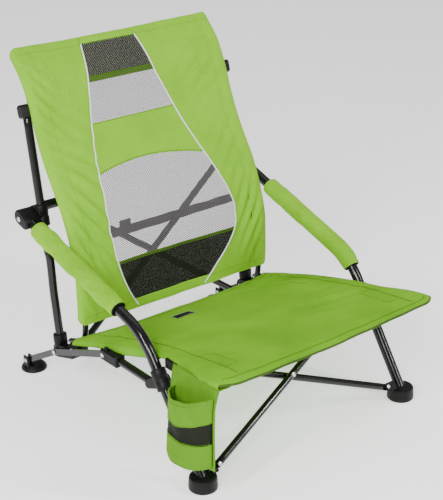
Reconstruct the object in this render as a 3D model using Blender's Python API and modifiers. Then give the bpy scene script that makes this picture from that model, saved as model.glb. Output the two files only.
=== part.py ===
"""Low folding camp chair: bent arm-and-leg tubes, two crossed rod pairs, fabric seat and back.

Metres, +Z up.  +Y points to the back of the chair, the sitter faces -Y.  Chair
coordinates put Y = 0 at the front feet and X = 0 on the middle plane; the empty
"chair_frame" moves everything so that the world origin is under the middle of
the whole chair, on the floor.
"""

import math

import bmesh
import bpy
from mathutils import Matrix, Vector

# ---------------------------------------------------------------- dimensions
ORIGIN_X = 0.0089          # the cup pocket stands out on the left side only
ORIGIN_Y = -0.28715
GAP = 0.0004               # clearance between touching pieces

LEG_R = 0.0110             # bent arm-and-leg tube
POST_R = 0.0090            # rear post
ROD_R = 0.0075             # crossed rods
BACK_R = 0.0065            # rod inside the back fabric's side sleeve
SEAT_R = 0.0070            # rod inside the seat fabric's side sleeve
LINK_R = 0.0085            # front side link
PAD_R = 0.0200             # padded arm sleeve, outside

FOOT_X, ARM_X = 0.268, 0.286       # the bent tube leans out from foot to arm end
BEND_Y, BEND_Z, BEND_R = 0.170, 0.262, 0.140
ARM_SLOPE, LEG_SLOPE = 0.3175, 1.43
ARM_END_Y = 0.5655
PIVOT_Y, PIVOT_Z = 0.553, 0.3835   # arm end in its slider

POST_X, BACK_X = 0.2565, 0.2365
JOINT_Y, JOINT_Z = 0.4945, 0.0903  # lever pivot in the rear joint
LEVER_X, LEVER_T = 0.272, 0.005
REAR_FOOT_Y, REAR_FOOT_Z = 0.6075, 0.0260
KNEE_Y, KNEE_Z = 0.302, 0.163
LINK_X, LINK_FRONT_Y = 0.267, 0.1465

SEAT_PIVOT_Y, SEAT_PIVOT_Z = 0.450, 0.127
SEAT_REAR_X, SEAT_FRONT_X = 0.2532, 0.2458

FRONT_TILT = math.radians(59.0)    # slope of the plane of the front crossed rods
FRONT_BASE = Vector((0.0, 0.004, 0.035))
FRONT_SPAN, FRONT_RISE = 0.4495, 0.196
FRONT_LOW_X = 0.2320
REAR_TILT = math.atan2(0.269, 0.046)   # the rear crossed rods lie in a plane parallel to the posts
REAR_LOW = Vector((0.2200, 0.474, 0.085))
REAR_TOP_X, REAR_TOP_Z = 0.2200, 0.405
ROD_STEP = ROD_R + 0.0007          # half the distance between two crossed rods

POCKET_X, POCKET_OUT = -0.2855, -0.3255
LABEL_SIZE = (0.046, 0.017, 0.0012)
BACK_HALF = 0.2446

SEAT_LINE = [(0.4575, 0.1243), (0.4500, 0.1270), (0.400, 0.145), (0.300, 0.178), (0.200, 0.206),
             (0.100, 0.2275), (0.000, 0.2420), (-0.062, 0.2480)]
BACK_LINE = [(0.4390, 0.1020), (0.4350, 0.122), (0.427, 0.150), (0.423, 0.200), (0.4235, 0.250),
             (0.427, 0.300), (0.444, 0.360), (0.4669, 0.4128), (0.5000, 0.4665),
             (0.5250, 0.5114), (0.5460, 0.5594), (0.5640, 0.6083), (0.5900, 0.660)]
POST_LINE = [(0.4913, 0.104), (0.4988, 0.1456), (0.5056, 0.192), (0.5100, 0.223),
             (0.5145, 0.280), (0.5190, 0.305), (0.5275, 0.335), (0.5735, 0.604)]

COLOURS = {
    "tube_black": ((0.012, 0.012, 0.014), 0.28, 0.6),
    "plastic_black": ((0.018, 0.018, 0.019), 0.45, 0.0),
    "steel": ((0.62, 0.62, 0.64), 0.30, 1.0),
    "fabric_green": ((0.25, 0.45, 0.07), 0.85, 0.0),
    "webbing_black": ((0.02, 0.02, 0.02), 0.80, 0.0),
    "label_black": ((0.015, 0.015, 0.017), 0.60, 0.0),
}

# ---------------------------------------------------------------- scene tools
for old in list(bpy.data.objects):
    bpy.data.objects.remove(old, do_unlink=True)

scene = bpy.context.scene
parts = bpy.data.collections.new("folding_camp_chair")
cutters = bpy.data.collections.new("cutters")
scene.collection.children.link(parts)
scene.collection.children.link(cutters)

frame = bpy.data.objects.new("chair_frame", None)
frame.location = (ORIGIN_X, ORIGIN_Y, 0.0)
parts.objects.link(frame)
AXES = {}


def axis_empty(name, at):
    """An empty on a joint's axis; the pieces that turn about it are its children."""
    if name not in AXES:
        empty = bpy.data.objects.new("axis_" + name, None)
        empty.location = at
        empty.parent = frame
        parts.objects.link(empty)
        AXES[name] = empty
    return AXES[name]


def coat(obj, kind):
    colour, rough, metal = COLOURS[kind]
    mat = bpy.data.materials.new(obj.name + "_" + kind)
    mat.use_nodes = True
    shader = mat.node_tree.nodes["Principled BSDF"]
    shader.inputs["Base Color"].default_value = (*colour, 1.0)
    shader.inputs["Roughness"].default_value = rough
    shader.inputs["Metallic"].default_value = metal
    obj.data.materials.clear()
    obj.data.materials.append(mat)


def hold(obj, owner=None):
    """Parent to the chair's frame, or to an empty on a joint axis, keeping the place."""
    if owner is None:
        obj.parent = frame
    else:
        obj.parent = owner
        obj.location = Vector(obj.location) - Vector(owner.location)
    return obj


def as_object(name, bm, kind=None, cutter=False, smooth=35.0):
    mesh = bpy.data.meshes.new(name)
    bmesh.ops.recalc_face_normals(bm, faces=bm.faces)
    bm.to_mesh(mesh)
    bm.free()
    obj = bpy.data.objects.new(name, mesh)
    if smooth:
        mesh.shade_smooth()
        mesh.set_sharp_from_angle(angle=math.radians(smooth))
    if cutter:
        cutters.objects.link(obj)
        obj.hide_render = True
        obj.display_type = "WIRE"
        obj.parent = frame
    else:
        parts.objects.link(obj)
        coat(obj, kind)
    return obj


def box_mesh(low, high, turn=0.0, about=None):
    """An axis-aligned box, turned about an X-parallel line through 'about'."""
    bm = bmesh.new()
    bmesh.ops.create_cube(bm, size=1.0)
    low, high = Vector(low), Vector(high)
    size, mid = high - low, (high + low) / 2
    for v in bm.verts:
        v.co = Vector((v.co.x * size.x, v.co.y * size.y, v.co.z * size.z)) + mid
    if turn:
        about = mid if about is None else Vector(about)
        bmesh.ops.rotate(bm, verts=bm.verts, cent=about, matrix=Matrix.Rotation(turn, 3, "X"))
    return bm


def box(name, low, high, kind=None, cutter=False, turn=0.0, about=None, bevel=0.0):
    obj = as_object(name, box_mesh(low, high, turn, about), kind, cutter, smooth=30.0)
    if bevel:
        mod = obj.modifiers.new("edge", "BEVEL")
        mod.width = bevel
        mod.segments = 1
        mod.limit_method = "ANGLE"
    return obj


def cylinder_mesh(at, along, r, length, segments=16, r2=None):
    bm = bmesh.new()
    bmesh.ops.create_cone(bm, cap_ends=True, segments=segments, radius1=r,
                          radius2=r if r2 is None else r2, depth=length)
    turn = Vector((0, 0, 1)).rotation_difference(Vector(along).normalized()).to_matrix()
    bmesh.ops.rotate(bm, verts=bm.verts, cent=(0, 0, 0), matrix=turn)
    bmesh.ops.translate(bm, verts=bm.verts, vec=Vector(at))
    return bm


def cylinder(name, at, along, r, length, kind=None, cutter=False, segments=16, r2=None):
    return as_object(name, cylinder_mesh(at, along, r, length, segments, r2), kind, cutter)


def boolean(obj, other, operation):
    mod = obj.modifiers.new(operation.lower(), "BOOLEAN")
    mod.operation = operation
    mod.object = other
    mod.solver = "EXACT"
    return obj


def bore(obj, at, along, r, length, segments=16):
    return boolean(obj, cylinder(obj.name + "_bore", at, along, r, length, cutter=True,
                                 segments=segments), "DIFFERENCE")


def add_box(obj, low, high, turn=0.0, about=None):
    return boolean(obj, box(obj.name + "_add", low, high, cutter=True, turn=turn, about=about),
                   "UNION")


def cut_box(obj, low, high, turn=0.0, about=None):
    return boolean(obj, box(obj.name + "_cut", low, high, cutter=True, turn=turn, about=about),
                   "DIFFERENCE")


def smooth_line(points, per_span=3):
    """A Catmull-Rom curve through the points."""
    pts = [Vector(p) for p in points]
    pts = [2 * pts[0] - pts[1]] + pts + [2 * pts[-1] - pts[-2]]
    out = []
    for i in range(1, len(pts) - 2):
        a, b, c, d = pts[i - 1:i + 3]
        for k in range(per_span):
            t = k / per_span
            out.append(0.5 * ((2 * b) + (c - a) * t + (2 * a - 5 * b + 4 * c - d) * t * t
                              + (3 * b - a - 3 * c + d) * t ** 3))
    return out + [pts[-2]]


def bent_line(a, corner, b, radius, steps=8):
    """Two straight runs joined by an arc that is tangent to both."""
    a, corner, b = Vector(a), Vector(corner), Vector(b)
    u, v = (a - corner).normalized(), (b - corner).normalized()
    half = u.angle(v) / 2
    start, end = corner + u * radius / math.tan(half), corner + v * radius / math.tan(half)
    centre = corner + (u + v).normalized() * radius / math.sin(half)
    arc = []
    for i in range(steps + 1):
        full = (start - centre).angle(end - centre)
        w = i / steps
        arc.append(centre + ((start - centre) * math.sin((1 - w) * full)
                             + (end - centre) * math.sin(w * full)) / math.sin(full))
    return [a] + arc + [b]


def tube(name, points, r, kind, resolution=3, cutter=False):
    """A round rod along the points, as a closed mesh."""
    curve = bpy.data.curves.new(name, "CURVE")
    curve.dimensions = "3D"
    curve.bevel_depth = r
    curve.bevel_resolution = resolution
    curve.use_fill_caps = True
    spline = curve.splines.new("POLY")
    spline.points.add(len(points) - 1)
    for p, q in zip(spline.points, points):
        p.co = (*q, 1.0)
    source = bpy.data.objects.new(name + "_curve", curve)
    parts.objects.link(source)
    bpy.context.view_layer.update()
    graph = bpy.context.evaluated_depsgraph_get()
    mesh = bpy.data.meshes.new_from_object(source.evaluated_get(graph))
    bpy.data.objects.remove(source, do_unlink=True)
    bm = bmesh.new()
    bm.from_mesh(mesh)
    bmesh.ops.remove_doubles(bm, verts=bm.verts, dist=1e-6)
    bpy.data.meshes.remove(mesh)
    return as_object(name, bm, kind, cutter)


def turned(name, profile, at, along, kind, steps=10, cutter=False):
    """A profile of (radius, height) pairs, from the top down, turned about its axis."""
    bm = bmesh.new()
    verts = [bm.verts.new((r, 0.0, z)) for r, z in profile]
    for a, b in zip(verts, verts[1:]):
        bm.edges.new((a, b))
    mesh = bpy.data.meshes.new(name)
    bm.to_mesh(mesh)
    bm.free()
    obj = bpy.data.objects.new(name, mesh)
    (cutters if cutter else parts).objects.link(obj)
    if not cutter:
        coat(obj, kind)
    mod = obj.modifiers.new("turn", "SCREW")
    mod.axis = "Z"
    mod.steps = steps
    mod.render_steps = steps
    mod.use_merge_vertices = True
    mod.merge_threshold = 1e-5
    mod.use_smooth_shade = False
    obj.rotation_euler = Vector((0, 0, 1)).rotation_difference(
        Vector(along).normalized()).to_euler()
    obj.location = at
    if cutter:
        obj.hide_render = True
        obj.display_type = "WIRE"
        obj.parent = frame
    return obj


def rivet(name, at, along, r, half, head=0.0055, crown=0.0022, kind="steel"):
    """A pin with a domed head at each end; 'half' is half the clamped length."""
    profile = [(0.0, half + crown), (head * 0.7, half + crown * 0.7), (head, half),
               (r, half), (r, -half), (head, -half), (head * 0.7, -half - crown * 0.7),
               (0.0, -half - crown)]
    return turned(name, profile, at, along, kind)


# ---------------------------------------------------------------- shared lines
def arm_x(y):
    return FOOT_X + (ARM_X - FOOT_X) * y / PIVOT_Y


ARM_END_Z = BEND_Z + ARM_SLOPE * (ARM_END_Y - BEND_Y)
LEG_FOOT_Z = 0.0088
LEG_FOOT_Y = BEND_Y - (BEND_Z - LEG_FOOT_Z) / LEG_SLOPE
LEG_ANGLE = math.atan(LEG_SLOPE)
POST_DIR = Vector((0.0, POST_LINE[-1][0] - POST_LINE[-2][0],
                   POST_LINE[-1][1] - POST_LINE[-2][1])).normalized()


def arm_line(side):
    flat = bent_line((0, ARM_END_Y, ARM_END_Z), (0, BEND_Y, BEND_Z),
                     (0, LEG_FOOT_Y, LEG_FOOT_Z), BEND_R)
    return [Vector((side * arm_x(p.y), p.y, p.z)) for p in flat]


def along_arm(side, start, length, step=0.020):
    """Points of the arm's centre line from 'start' metres past its rear end."""
    line = arm_line(side)
    out, run = [], 0.0
    fine = []
    for a, b in zip(line, line[1:]):
        n = max(1, int((b - a).length / 0.003))
        fine += [a.lerp(b, i / n) for i in range(n)]
    fine.append(line[-1])
    last = None
    for a, b in zip(fine, fine[1:]):
        if start <= run <= start + length and (last is None or run - last >= step):
            out.append(a.copy())
            last = run
        run += (b - a).length
    return out


def seat_at(y):
    for (y1, z1), (y0, z0) in zip(SEAT_FINE, SEAT_FINE[1:]):
        if y0 <= y <= y1:
            return z0 + (z1 - z0) * (y - y0) / (y1 - y0)
    return SEAT_FINE[0][1] if y > SEAT_FINE[0][0] else SEAT_FINE[-1][1]


def seat_x(y):
    """The seat rod leaves the rear joint outside the back rod, then runs just inside the legs."""
    t = min(1.0, max(0.0, (0.356 - y) / 0.022))
    return SEAT_REAR_X + (SEAT_FRONT_X - SEAT_REAR_X) * t


SEAT_FINE = [(p.y, p.z) for p in smooth_line([(0, y, z) for y, z in SEAT_LINE], 4)]
BACK_FINE = [(p.y, p.z) for p in smooth_line([(0, y, z) for y, z in BACK_LINE], 2)]

FRONT_UP = Vector((0.0, math.cos(FRONT_TILT), math.sin(FRONT_TILT)))
FRONT_OUT = Vector((0.0, -math.sin(FRONT_TILT), math.cos(FRONT_TILT)))
REAR_UP = Vector((0.0, math.cos(REAR_TILT), math.sin(REAR_TILT)))
REAR_OUT = Vector((0.0, -math.sin(REAR_TILT), math.cos(REAR_TILT)))
REAR_RISE = (REAR_TOP_Z - REAR_LOW.z) / math.sin(REAR_TILT)

EAR_Y = {"left": 0.5363, "right": 0.5474}

# ---------------------------------------------------------------- both sides
for word, s in (("left", -1.0), ("right", 1.0)):
    slider_axis = axis_empty("slider_" + word, (s * POST_X, 0.5362, 0.386))
    arm_axis = axis_empty("arm_" + word, (s * ARM_X, PIVOT_Y, PIVOT_Z))
    lever_axis = axis_empty("lever_" + word, (s * LEVER_X, JOINT_Y, JOINT_Z))
    foot_axis = axis_empty("rear_foot_" + word, (s * LEVER_X, REAR_FOOT_Y, REAR_FOOT_Z))
    knee_axis = axis_empty("knee_" + word, (s * LINK_X, KNEE_Y, KNEE_Z))
    seat_axis = axis_empty("seat_" + word, (s * SEAT_REAR_X, SEAT_PIVOT_Y, SEAT_PIVOT_Z))
    lo = lambda a, b: min(s * a, s * b)
    hi = lambda a, b: max(s * a, s * b)

    # rear post, cap, back rod and rear joint: the fixed rear upright
    post = tube("rear_post_" + word, smooth_line([(s * POST_X, y, z) for y, z in POST_LINE], 2),
                POST_R, "tube_black", 4)
    hold(post)
    back = tube("back_rod_" + word,
                smooth_line([(s * BACK_X, y, z) for y, z in BACK_LINE], 2), BACK_R,
                "tube_black", 3)
    hold(back)
    cap = box("post_cap_" + word, (lo(0.2260, 0.2705), 0.5625, 0.5890),
              (hi(0.2260, 0.2705), 0.5880, 0.6170), "plastic_black",
              turn=math.radians(-15.0), about=(0.0, 0.5625, 0.6030), bevel=0.004)
    boolean(cap, tube("cap_post_room_" + word, [
        Vector((s * POST_X, 0.5735, 0.604)) + POST_DIR * k for k in (-0.05, 0.0004)],
        POST_R + GAP, None, 4, cutter=True), "DIFFERENCE")
    boolean(cap, tube("cap_rod_room_" + word, [
        Vector((s * BACK_X, y, z)) for y, z in BACK_FINE[-8:]], BACK_R + GAP, None, 3,
        cutter=True), "DIFFERENCE")
    hold(cap)
    joint = box("rear_joint_" + word, (lo(0.2400, 0.2685), 0.4250, 0.0760),
                (hi(0.2400, 0.2685), 0.5080, 0.1060), "plastic_black")
    add_box(joint, (lo(0.2450, 0.2680), 0.4790, 0.0980), (hi(0.2450, 0.2680), 0.5075, 0.1280))
    add_box(joint, (lo(0.2280, 0.2420), 0.4290, 0.0880), (hi(0.2280, 0.2420), 0.4500, 0.1180))
    add_box(joint, (lo(0.2612, 0.2640), 0.4420, 0.1000), (hi(0.2612, 0.2640), 0.4580, 0.1350))
    # plate for the lower end of the rear crossed rod, on the side towards the other rod
    rod_low = Vector((s * REAR_LOW.x, REAR_LOW.y, REAR_LOW.z)) + REAR_OUT * (s * ROD_STEP)
    plate = rod_low + REAR_OUT * (-s * (ROD_R + 0.0006 + 0.0020))
    add_box(joint, (lo(0.2130, 0.2420), plate.y - 0.0085, plate.z - 0.0020),
            (hi(0.2130, 0.2420), plate.y + 0.0115, plate.z + 0.0020), turn=REAR_TILT, about=plate)
    for path, r in (([Vector((s * POST_X, y, z)) for y, z in POST_LINE[:3]], POST_R),
                    ([Vector((s * BACK_X, y, z)) for y, z in BACK_LINE[:3]], BACK_R)):
        first = path[0] - (path[1] - path[0]).normalized() * 0.0006
        boolean(joint, tube("joint_room_" + word, [first] + smooth_line(path, 2), r + GAP, None, 4,
                            cutter=True), "DIFFERENCE")
    bore(joint, (s * 0.2545, JOINT_Y, JOINT_Z), (1, 0, 0), 0.0034, 0.05)
    bore(joint, (s * 0.2626, SEAT_PIVOT_Y, SEAT_PIVOT_Z), (1, 0, 0), 0.0027, 0.010)
    bore(joint, plate, REAR_OUT, 0.0030, 0.012)
    hold(joint)
    rear_pin = rivet("rear_rod_pin_" + word, rod_low + REAR_OUT * (-s * 0.0022), REAR_OUT,
                     0.0026, 0.0103, 0.0046, 0.0016)
    hold(rear_pin)

    # slider on the post
    slider = box("arm_slider_" + word, (lo(0.2430, 0.2690), 0.5217, 0.3620),
                 (hi(0.2430, 0.2690), 0.5790, 0.4100), "plastic_black", bevel=0.0)
    add_box(slider, (lo(0.2440, 0.3020), 0.5712, 0.3610), (hi(0.2440, 0.3020), 0.5785, 0.4090))
    add_box(slider, (lo(0.2985, 0.3025), 0.5400, 0.3600), (hi(0.2985, 0.3025), 0.5795, 0.4100))
    boolean(slider, tube("slider_room_" + word, [
        Vector((s * POST_X, 0.5275, 0.335)) + POST_DIR * k for k in (-0.02, 0.12)],
        POST_R + GAP, None, 4, cutter=True), "DIFFERENCE")
    bore(slider, (s * 0.273, PIVOT_Y, PIVOT_Z), (1, 0, 0), 0.0034, 0.08)
    # ear behind the upper end of the far rear rod
    top = Vector((s * REAR_TOP_X, REAR_LOW.y, REAR_LOW.z)) + REAR_UP * REAR_RISE \
        + REAR_OUT * (-s * ROD_STEP)
    ear_y = EAR_Y[word]
    add_box(slider, (lo(0.2135, 0.2450), ear_y - 0.0018, 0.3965),
            (hi(0.2135, 0.2450), ear_y + 0.0018, 0.4105))
    reach = (top.y - ear_y) / REAR_OUT.y
    bore(slider, top - REAR_OUT * reach, REAR_OUT, 0.0030, 0.010)
    near, far_side = top + REAR_OUT * (ROD_R + 0.0006), top - REAR_OUT * (reach + 0.0031)
    hold(rivet("rod_top_pin_" + word, (near + far_side) / 2, REAR_OUT, 0.0026,
               (near - far_side).length / 2, 0.0046, 0.0016), slider_axis)
    hold(slider, slider_axis)
    hold(rivet("arm_pin_" + word, (s * 0.27275, PIVOT_Y, PIVOT_Z), (1, 0, 0), 0.0030, 0.0303,
               0.0062, 0.0022), slider_axis)

    # bent arm-and-leg tube with its foot, bracket and padded sleeve
    arm = tube("arm_leg_" + word, arm_line(s), LEG_R, "tube_black", 4)
    bore(arm, (s * ARM_X, PIVOT_Y, PIVOT_Z), (1, 0, 0), 0.0034, 0.04)
    hold(arm, arm_axis)
    start, length = (0.057, 0.286) if s < 0 else (0.131, 0.300)
    run = along_arm(s, start, length)
    pad = tube("arm_pad_" + word, run, PAD_R, "fabric_green", 3)
    inner = [run[0] + (run[0] - run[1]).normalized() * 0.01] + run + [
        run[-1] + (run[-1] - run[-2]).normalized() * 0.01]
    boolean(pad, tube("pad_room_" + word, inner, LEG_R + 0.0014, None, 3, cutter=True),
            "DIFFERENCE")
    hold(pad, arm_axis)

    foot_at = (s * 0.2665, -0.0010, 0.0)
    foot = turned("front_foot_" + word,
                  [(0.0, 0.0280), (0.0235, 0.0280), (0.0265, 0.0262), (0.0275, 0.0220),
                   (0.0285, 0.0050), (0.0280, 0.0015), (0.0265, 0.0), (0.0, 0.0)],
                  foot_at, (0, 0, 1), "plastic_black", 28)
    low = FRONT_BASE + Vector((s * FRONT_LOW_X, 0, 0)) + FRONT_OUT * (-s * ROD_STEP)
    lug = low + FRONT_OUT * (s * (ROD_R + 0.0006 + 0.0020))
    add_box(foot, (lo(0.2290, 0.2520), lug.y - 0.0150, lug.z - 0.0020),
            (hi(0.2290, 0.2520), lug.y + 0.0080, lug.z + 0.0020),
            turn=FRONT_TILT, about=lug)
    leg_low = Vector((s * arm_x(LEG_FOOT_Y), LEG_FOOT_Y, LEG_FOOT_Z))
    leg_up = Vector((s * arm_x(0.1), 0.1, BEND_Z - LEG_SLOPE * (BEND_Y - 0.1)))
    lead = (leg_up - leg_low).normalized()
    boolean(foot, tube("foot_room_" + word, [leg_low - lead * GAP, leg_up], LEG_R + GAP, None, 4,
                       cutter=True), "DIFFERENCE")
    bore(foot, lug, FRONT_OUT, 0.0030, 0.008)
    hold(foot, arm_axis)
    hold(rivet("front_rod_pin_" + word, low + FRONT_OUT * (s * 0.0022), FRONT_OUT,
               0.0026, 0.0103, 0.0046, 0.0016), arm_axis)

    middle = Vector((s * arm_x(0.117), 0.117, BEND_Z - LEG_SLOPE * (BEND_Y - 0.117)))
    bracket = box("leg_bracket_" + word, (lo(0.2555, 0.2880), middle.y - 0.033, middle.z - 0.0128),
                  (hi(0.2555, 0.2880), middle.y + 0.024, middle.z + 0.0150), "plastic_black",
                  turn=LEG_ANGLE, about=middle, bevel=0.003)
    rest_z = seat_at(0.133) - SEAT_R - 0.0007
    add_box(bracket, (lo(0.2405, 0.2600), 0.1210, rest_z - 0.0110),
            (hi(0.2405, 0.2600), 0.1450, rest_z), turn=-0.212, about=(0.0, 0.133, rest_z))
    for near_x, far_x in ((0.2557, 0.2580), (0.2762, 0.2786)):
        add_box(bracket, (lo(near_x, far_x), 0.1060, KNEE_Z - 0.0110),
                (hi(near_x, far_x), 0.1575, KNEE_Z + 0.0080))
    leg_dir = (leg_up - leg_low).normalized()
    boolean(bracket, tube("bracket_room_" + word, [middle - leg_dir * 0.05, middle + leg_dir * 0.05],
                          LEG_R + GAP, None, 4, cutter=True), "DIFFERENCE")
    hold(bracket, arm_axis)

    # lever from the rear foot past the joint to the knee: a flat bar with round ends
    line = [Vector((0, REAR_FOOT_Y, REAR_FOOT_Z)), Vector((0, JOINT_Y, JOINT_Z)),
            Vector((0, KNEE_Y, KNEE_Z))]
    bm = bmesh.new()
    half = 0.0070
    outline = []
    d0, d1 = (line[1] - line[0]).normalized(), (line[2] - line[1]).normalized()
    n0, n1 = Vector((0, -d0.z, d0.y)), Vector((0, -d1.z, d1.y))
    for i in range(9):
        w = math.pi * i / 8
        outline.append(line[0] + half * (n0 * math.cos(w) - d0 * math.sin(w)))
    outline.append(line[1] - (n0 + n1).normalized() * half)
    for i in range(9):
        w = math.pi * i / 8
        outline.append(line[2] + half * (-n1 * math.cos(w) + d1 * math.sin(w)))
    outline.append(line[1] + (n0 + n1).normalized() * half)
    curve_face = bm.faces.new([bm.verts.new((s * LEVER_X - LEVER_T / 2, p.y, p.z)) for p in outline])
    grown = bmesh.ops.extrude_face_region(bm, geom=[curve_face])
    bmesh.ops.translate(bm, vec=(LEVER_T, 0, 0),
                        verts=[v for v in grown["geom"] if isinstance(v, bmesh.types.BMVert)])
    lever = as_object("rear_lever_" + word, bm, "tube_black", smooth=40.0)
    for at in line:
        bore(lever, (s * LEVER_X, at.y, at.z), (1, 0, 0), 0.0034, 0.02)
    hold(lever, lever_axis)
    hold(rivet("lever_pin_" + word, (s * 0.25755, JOINT_Y, JOINT_Z), (1, 0, 0), 0.0030, 0.0181,
               0.0060, 0.0020), None)

    rear = turned("rear_foot_" + word,
                  [(0.0, 0.0160), (0.0120, 0.0158), (0.0210, 0.0130), (0.0265, 0.0080),
                   (0.0287, 0.0030), (0.0280, 0.0), (0.0, 0.0)],
                  (s * 0.2580, 0.6098, 0.0), (0, 0, 1), "plastic_black", 28)
    for inner_x, outer_x in ((0.2642, 0.2685), (0.2755, 0.2798)):
        add_box(rear, (lo(inner_x, outer_x), REAR_FOOT_Y - 0.0090, 0.0060),
                (hi(inner_x, outer_x), REAR_FOOT_Y + 0.0090, REAR_FOOT_Z + 0.0090))
    cut_box(rear, (lo(0.2690, 0.2750), REAR_FOOT_Y - 0.040, 0.0170),
            (hi(0.2690, 0.2750), REAR_FOOT_Y + 0.012, 0.040))
    cut_box(rear, (lo(0.2690, 0.2750), REAR_FOOT_Y - 0.012, 0.0150),
            (hi(0.2690, 0.2750), REAR_FOOT_Y + 0.012, 0.040))
    bore(rear, (s * LEVER_X, REAR_FOOT_Y, REAR_FOOT_Z), (1, 0, 0), 0.0034, 0.03)
    hold(rear, foot_axis)
    hold(rivet("rear_foot_pin_" + word, (s * LEVER_X, REAR_FOOT_Y, REAR_FOOT_Z), (1, 0, 0),
               0.0030, 0.0082, 0.0055, 0.0020), foot_axis)

    # knee connector and the front side link
    link = tube("front_link_" + word, [Vector((s * LINK_X, LINK_FRONT_Y, KNEE_Z - 0.002)),
                                       Vector((s * LINK_X, KNEE_Y - 0.026, KNEE_Z))],
                LINK_R, "tube_black", 4)
    hold(link, knee_axis)
    knee = box("knee_joint_" + word, (lo(0.2560, 0.2800), KNEE_Y - 0.0480, KNEE_Z - 0.0125),
               (hi(0.2560, 0.2800), KNEE_Y + 0.0090, KNEE_Z + 0.0125), "plastic_black",
               bevel=0.003)
    cut_box(knee, (lo(0.2690, 0.2750), KNEE_Y - 0.0170, KNEE_Z - 0.03),
            (hi(0.2690, 0.2750), KNEE_Y + 0.02, KNEE_Z + 0.03))
    cut_box(knee, (lo(0.2500, 0.2640), KNEE_Y - 0.0170, KNEE_Z - 0.03),
            (hi(0.2500, 0.2640), KNEE_Y + 0.02, KNEE_Z + 0.03))
    boolean(knee, tube("knee_room_" + word, [Vector((s * LINK_X, KNEE_Y - 0.07, KNEE_Z - 0.0007)),
                                             Vector((s * LINK_X, KNEE_Y - 0.0255, KNEE_Z))],
                       LINK_R + GAP, None, 4, cutter=True), "DIFFERENCE")
    bore(knee, (s * LINK_X, KNEE_Y, KNEE_Z), (1, 0, 0), 0.0034, 0.04)
    hold(knee, knee_axis)
    hold(rivet("knee_pin_" + word, (s * 0.27195, KNEE_Y, KNEE_Z), (1, 0, 0), 0.0030, 0.0084,
               0.0055, 0.0018), knee_axis)

    # seat rod and its bracket for the front crossed rod
    seat = tube("seat_rod_" + word, [Vector((s * seat_x(y), y, z)) for y, z in SEAT_FINE],
                SEAT_R, "tube_black", 3)
    bore(seat, (s * SEAT_REAR_X, SEAT_PIVOT_Y, SEAT_PIVOT_Z), (1, 0, 0), 0.0027, 0.03)
    hold(seat, seat_axis)
    hold(rivet("seat_pin_" + word, (s * 0.25520, SEAT_PIVOT_Y, SEAT_PIVOT_Z), (1, 0, 0), 0.0023,
               0.0092, 0.0040, 0.0012))
    grip = box("seat_bracket_" + word, (lo(0.2410, 0.2655), 0.0860, 0.2080),
               (hi(0.2410, 0.2655), 0.1130, 0.2290), "plastic_black", bevel=0.002)
    boolean(grip, tube("grip_room_" + word, [Vector((s * seat_x(y), y, seat_at(y)))
                                             for y in (0.130, 0.115, 0.100, 0.085, 0.070)],
                       SEAT_R + GAP, None, 3, cutter=True), "DIFFERENCE")
    hold(grip, seat_axis)

    # crossed rods: each is pinned at its lower end on this side
    far = low + Vector((-s * FRONT_SPAN, 0, 0)) + FRONT_UP * FRONT_RISE
    aim = (far - low).normalized()
    rod = tube("front_cross_rod_" + word, [low - aim * 0.0035, far], ROD_R, "tube_black", 4)
    bore(rod, low, FRONT_OUT, 0.0030, 0.03)
    hold(rod, axis_empty("front_rod_" + word, low))
    far_r = Vector((-s * REAR_TOP_X, 0, 0)) + Vector((0, rod_low.y, rod_low.z)) + REAR_UP * REAR_RISE
    aim_r = (far_r - rod_low).normalized()
    rod_r = tube("rear_cross_rod_" + word, [rod_low - aim_r * 0.0035, far_r + aim_r * 0.0055], ROD_R, "tube_black", 4)
    bore(rod_r, rod_low, REAR_OUT, 0.0030, 0.03)
    bore(rod_r, far_r, REAR_OUT, 0.0030, 0.03)
    hold(rod_r, axis_empty("rear_rod_" + word, rod_low))
    if s < 0:
        FRONT_CROSS = (low, far)
        REAR_CROSS = (rod_low, far_r)

# ---------------------------------------------------------------- middle pieces
for end, (a, b), out in (("front", FRONT_CROSS, FRONT_OUT), ("rear", REAR_CROSS, REAR_OUT)):
    # the left rod's centre line at the middle plane, and the point half way to the right rod
    on_left = a.lerp(b, (0.0 - a.x) / (b.x - a.x))
    side = 1.0 if end == "front" else -1.0      # which way the left rod lies from the middle
    centre = on_left - out * (side * ROD_STEP)
    for word in ("left", "right"):
        rod = bpy.data.objects[end + "_cross_rod_" + word]
        bore(rod, centre, out, 0.0030, 0.06)
    if end == "rear":
        hold(rivet("rear_cross_rivet", centre, out, 0.0026, 2 * ROD_STEP + 0.0006, 0.0050, 0.0018),
             AXES["rear_rod_left"])
    else:
        # each rod carries its own half of the front rivet
        for word, way in (("left", 1.0), ("right", -1.0)):
            low_end, head_end = 0.0012, 2 * ROD_STEP + 0.0006
            profile = [(0.0, head_end + 0.0018), (0.0036, head_end + 0.0012), (0.0050, head_end),
                       (0.0026, head_end), (0.0026, low_end), (0.0, low_end)]
            hold(turned("front_cross_rivet_" + word, profile, centre, out * way, "steel"),
                 AXES["front_rod_" + word])

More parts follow.
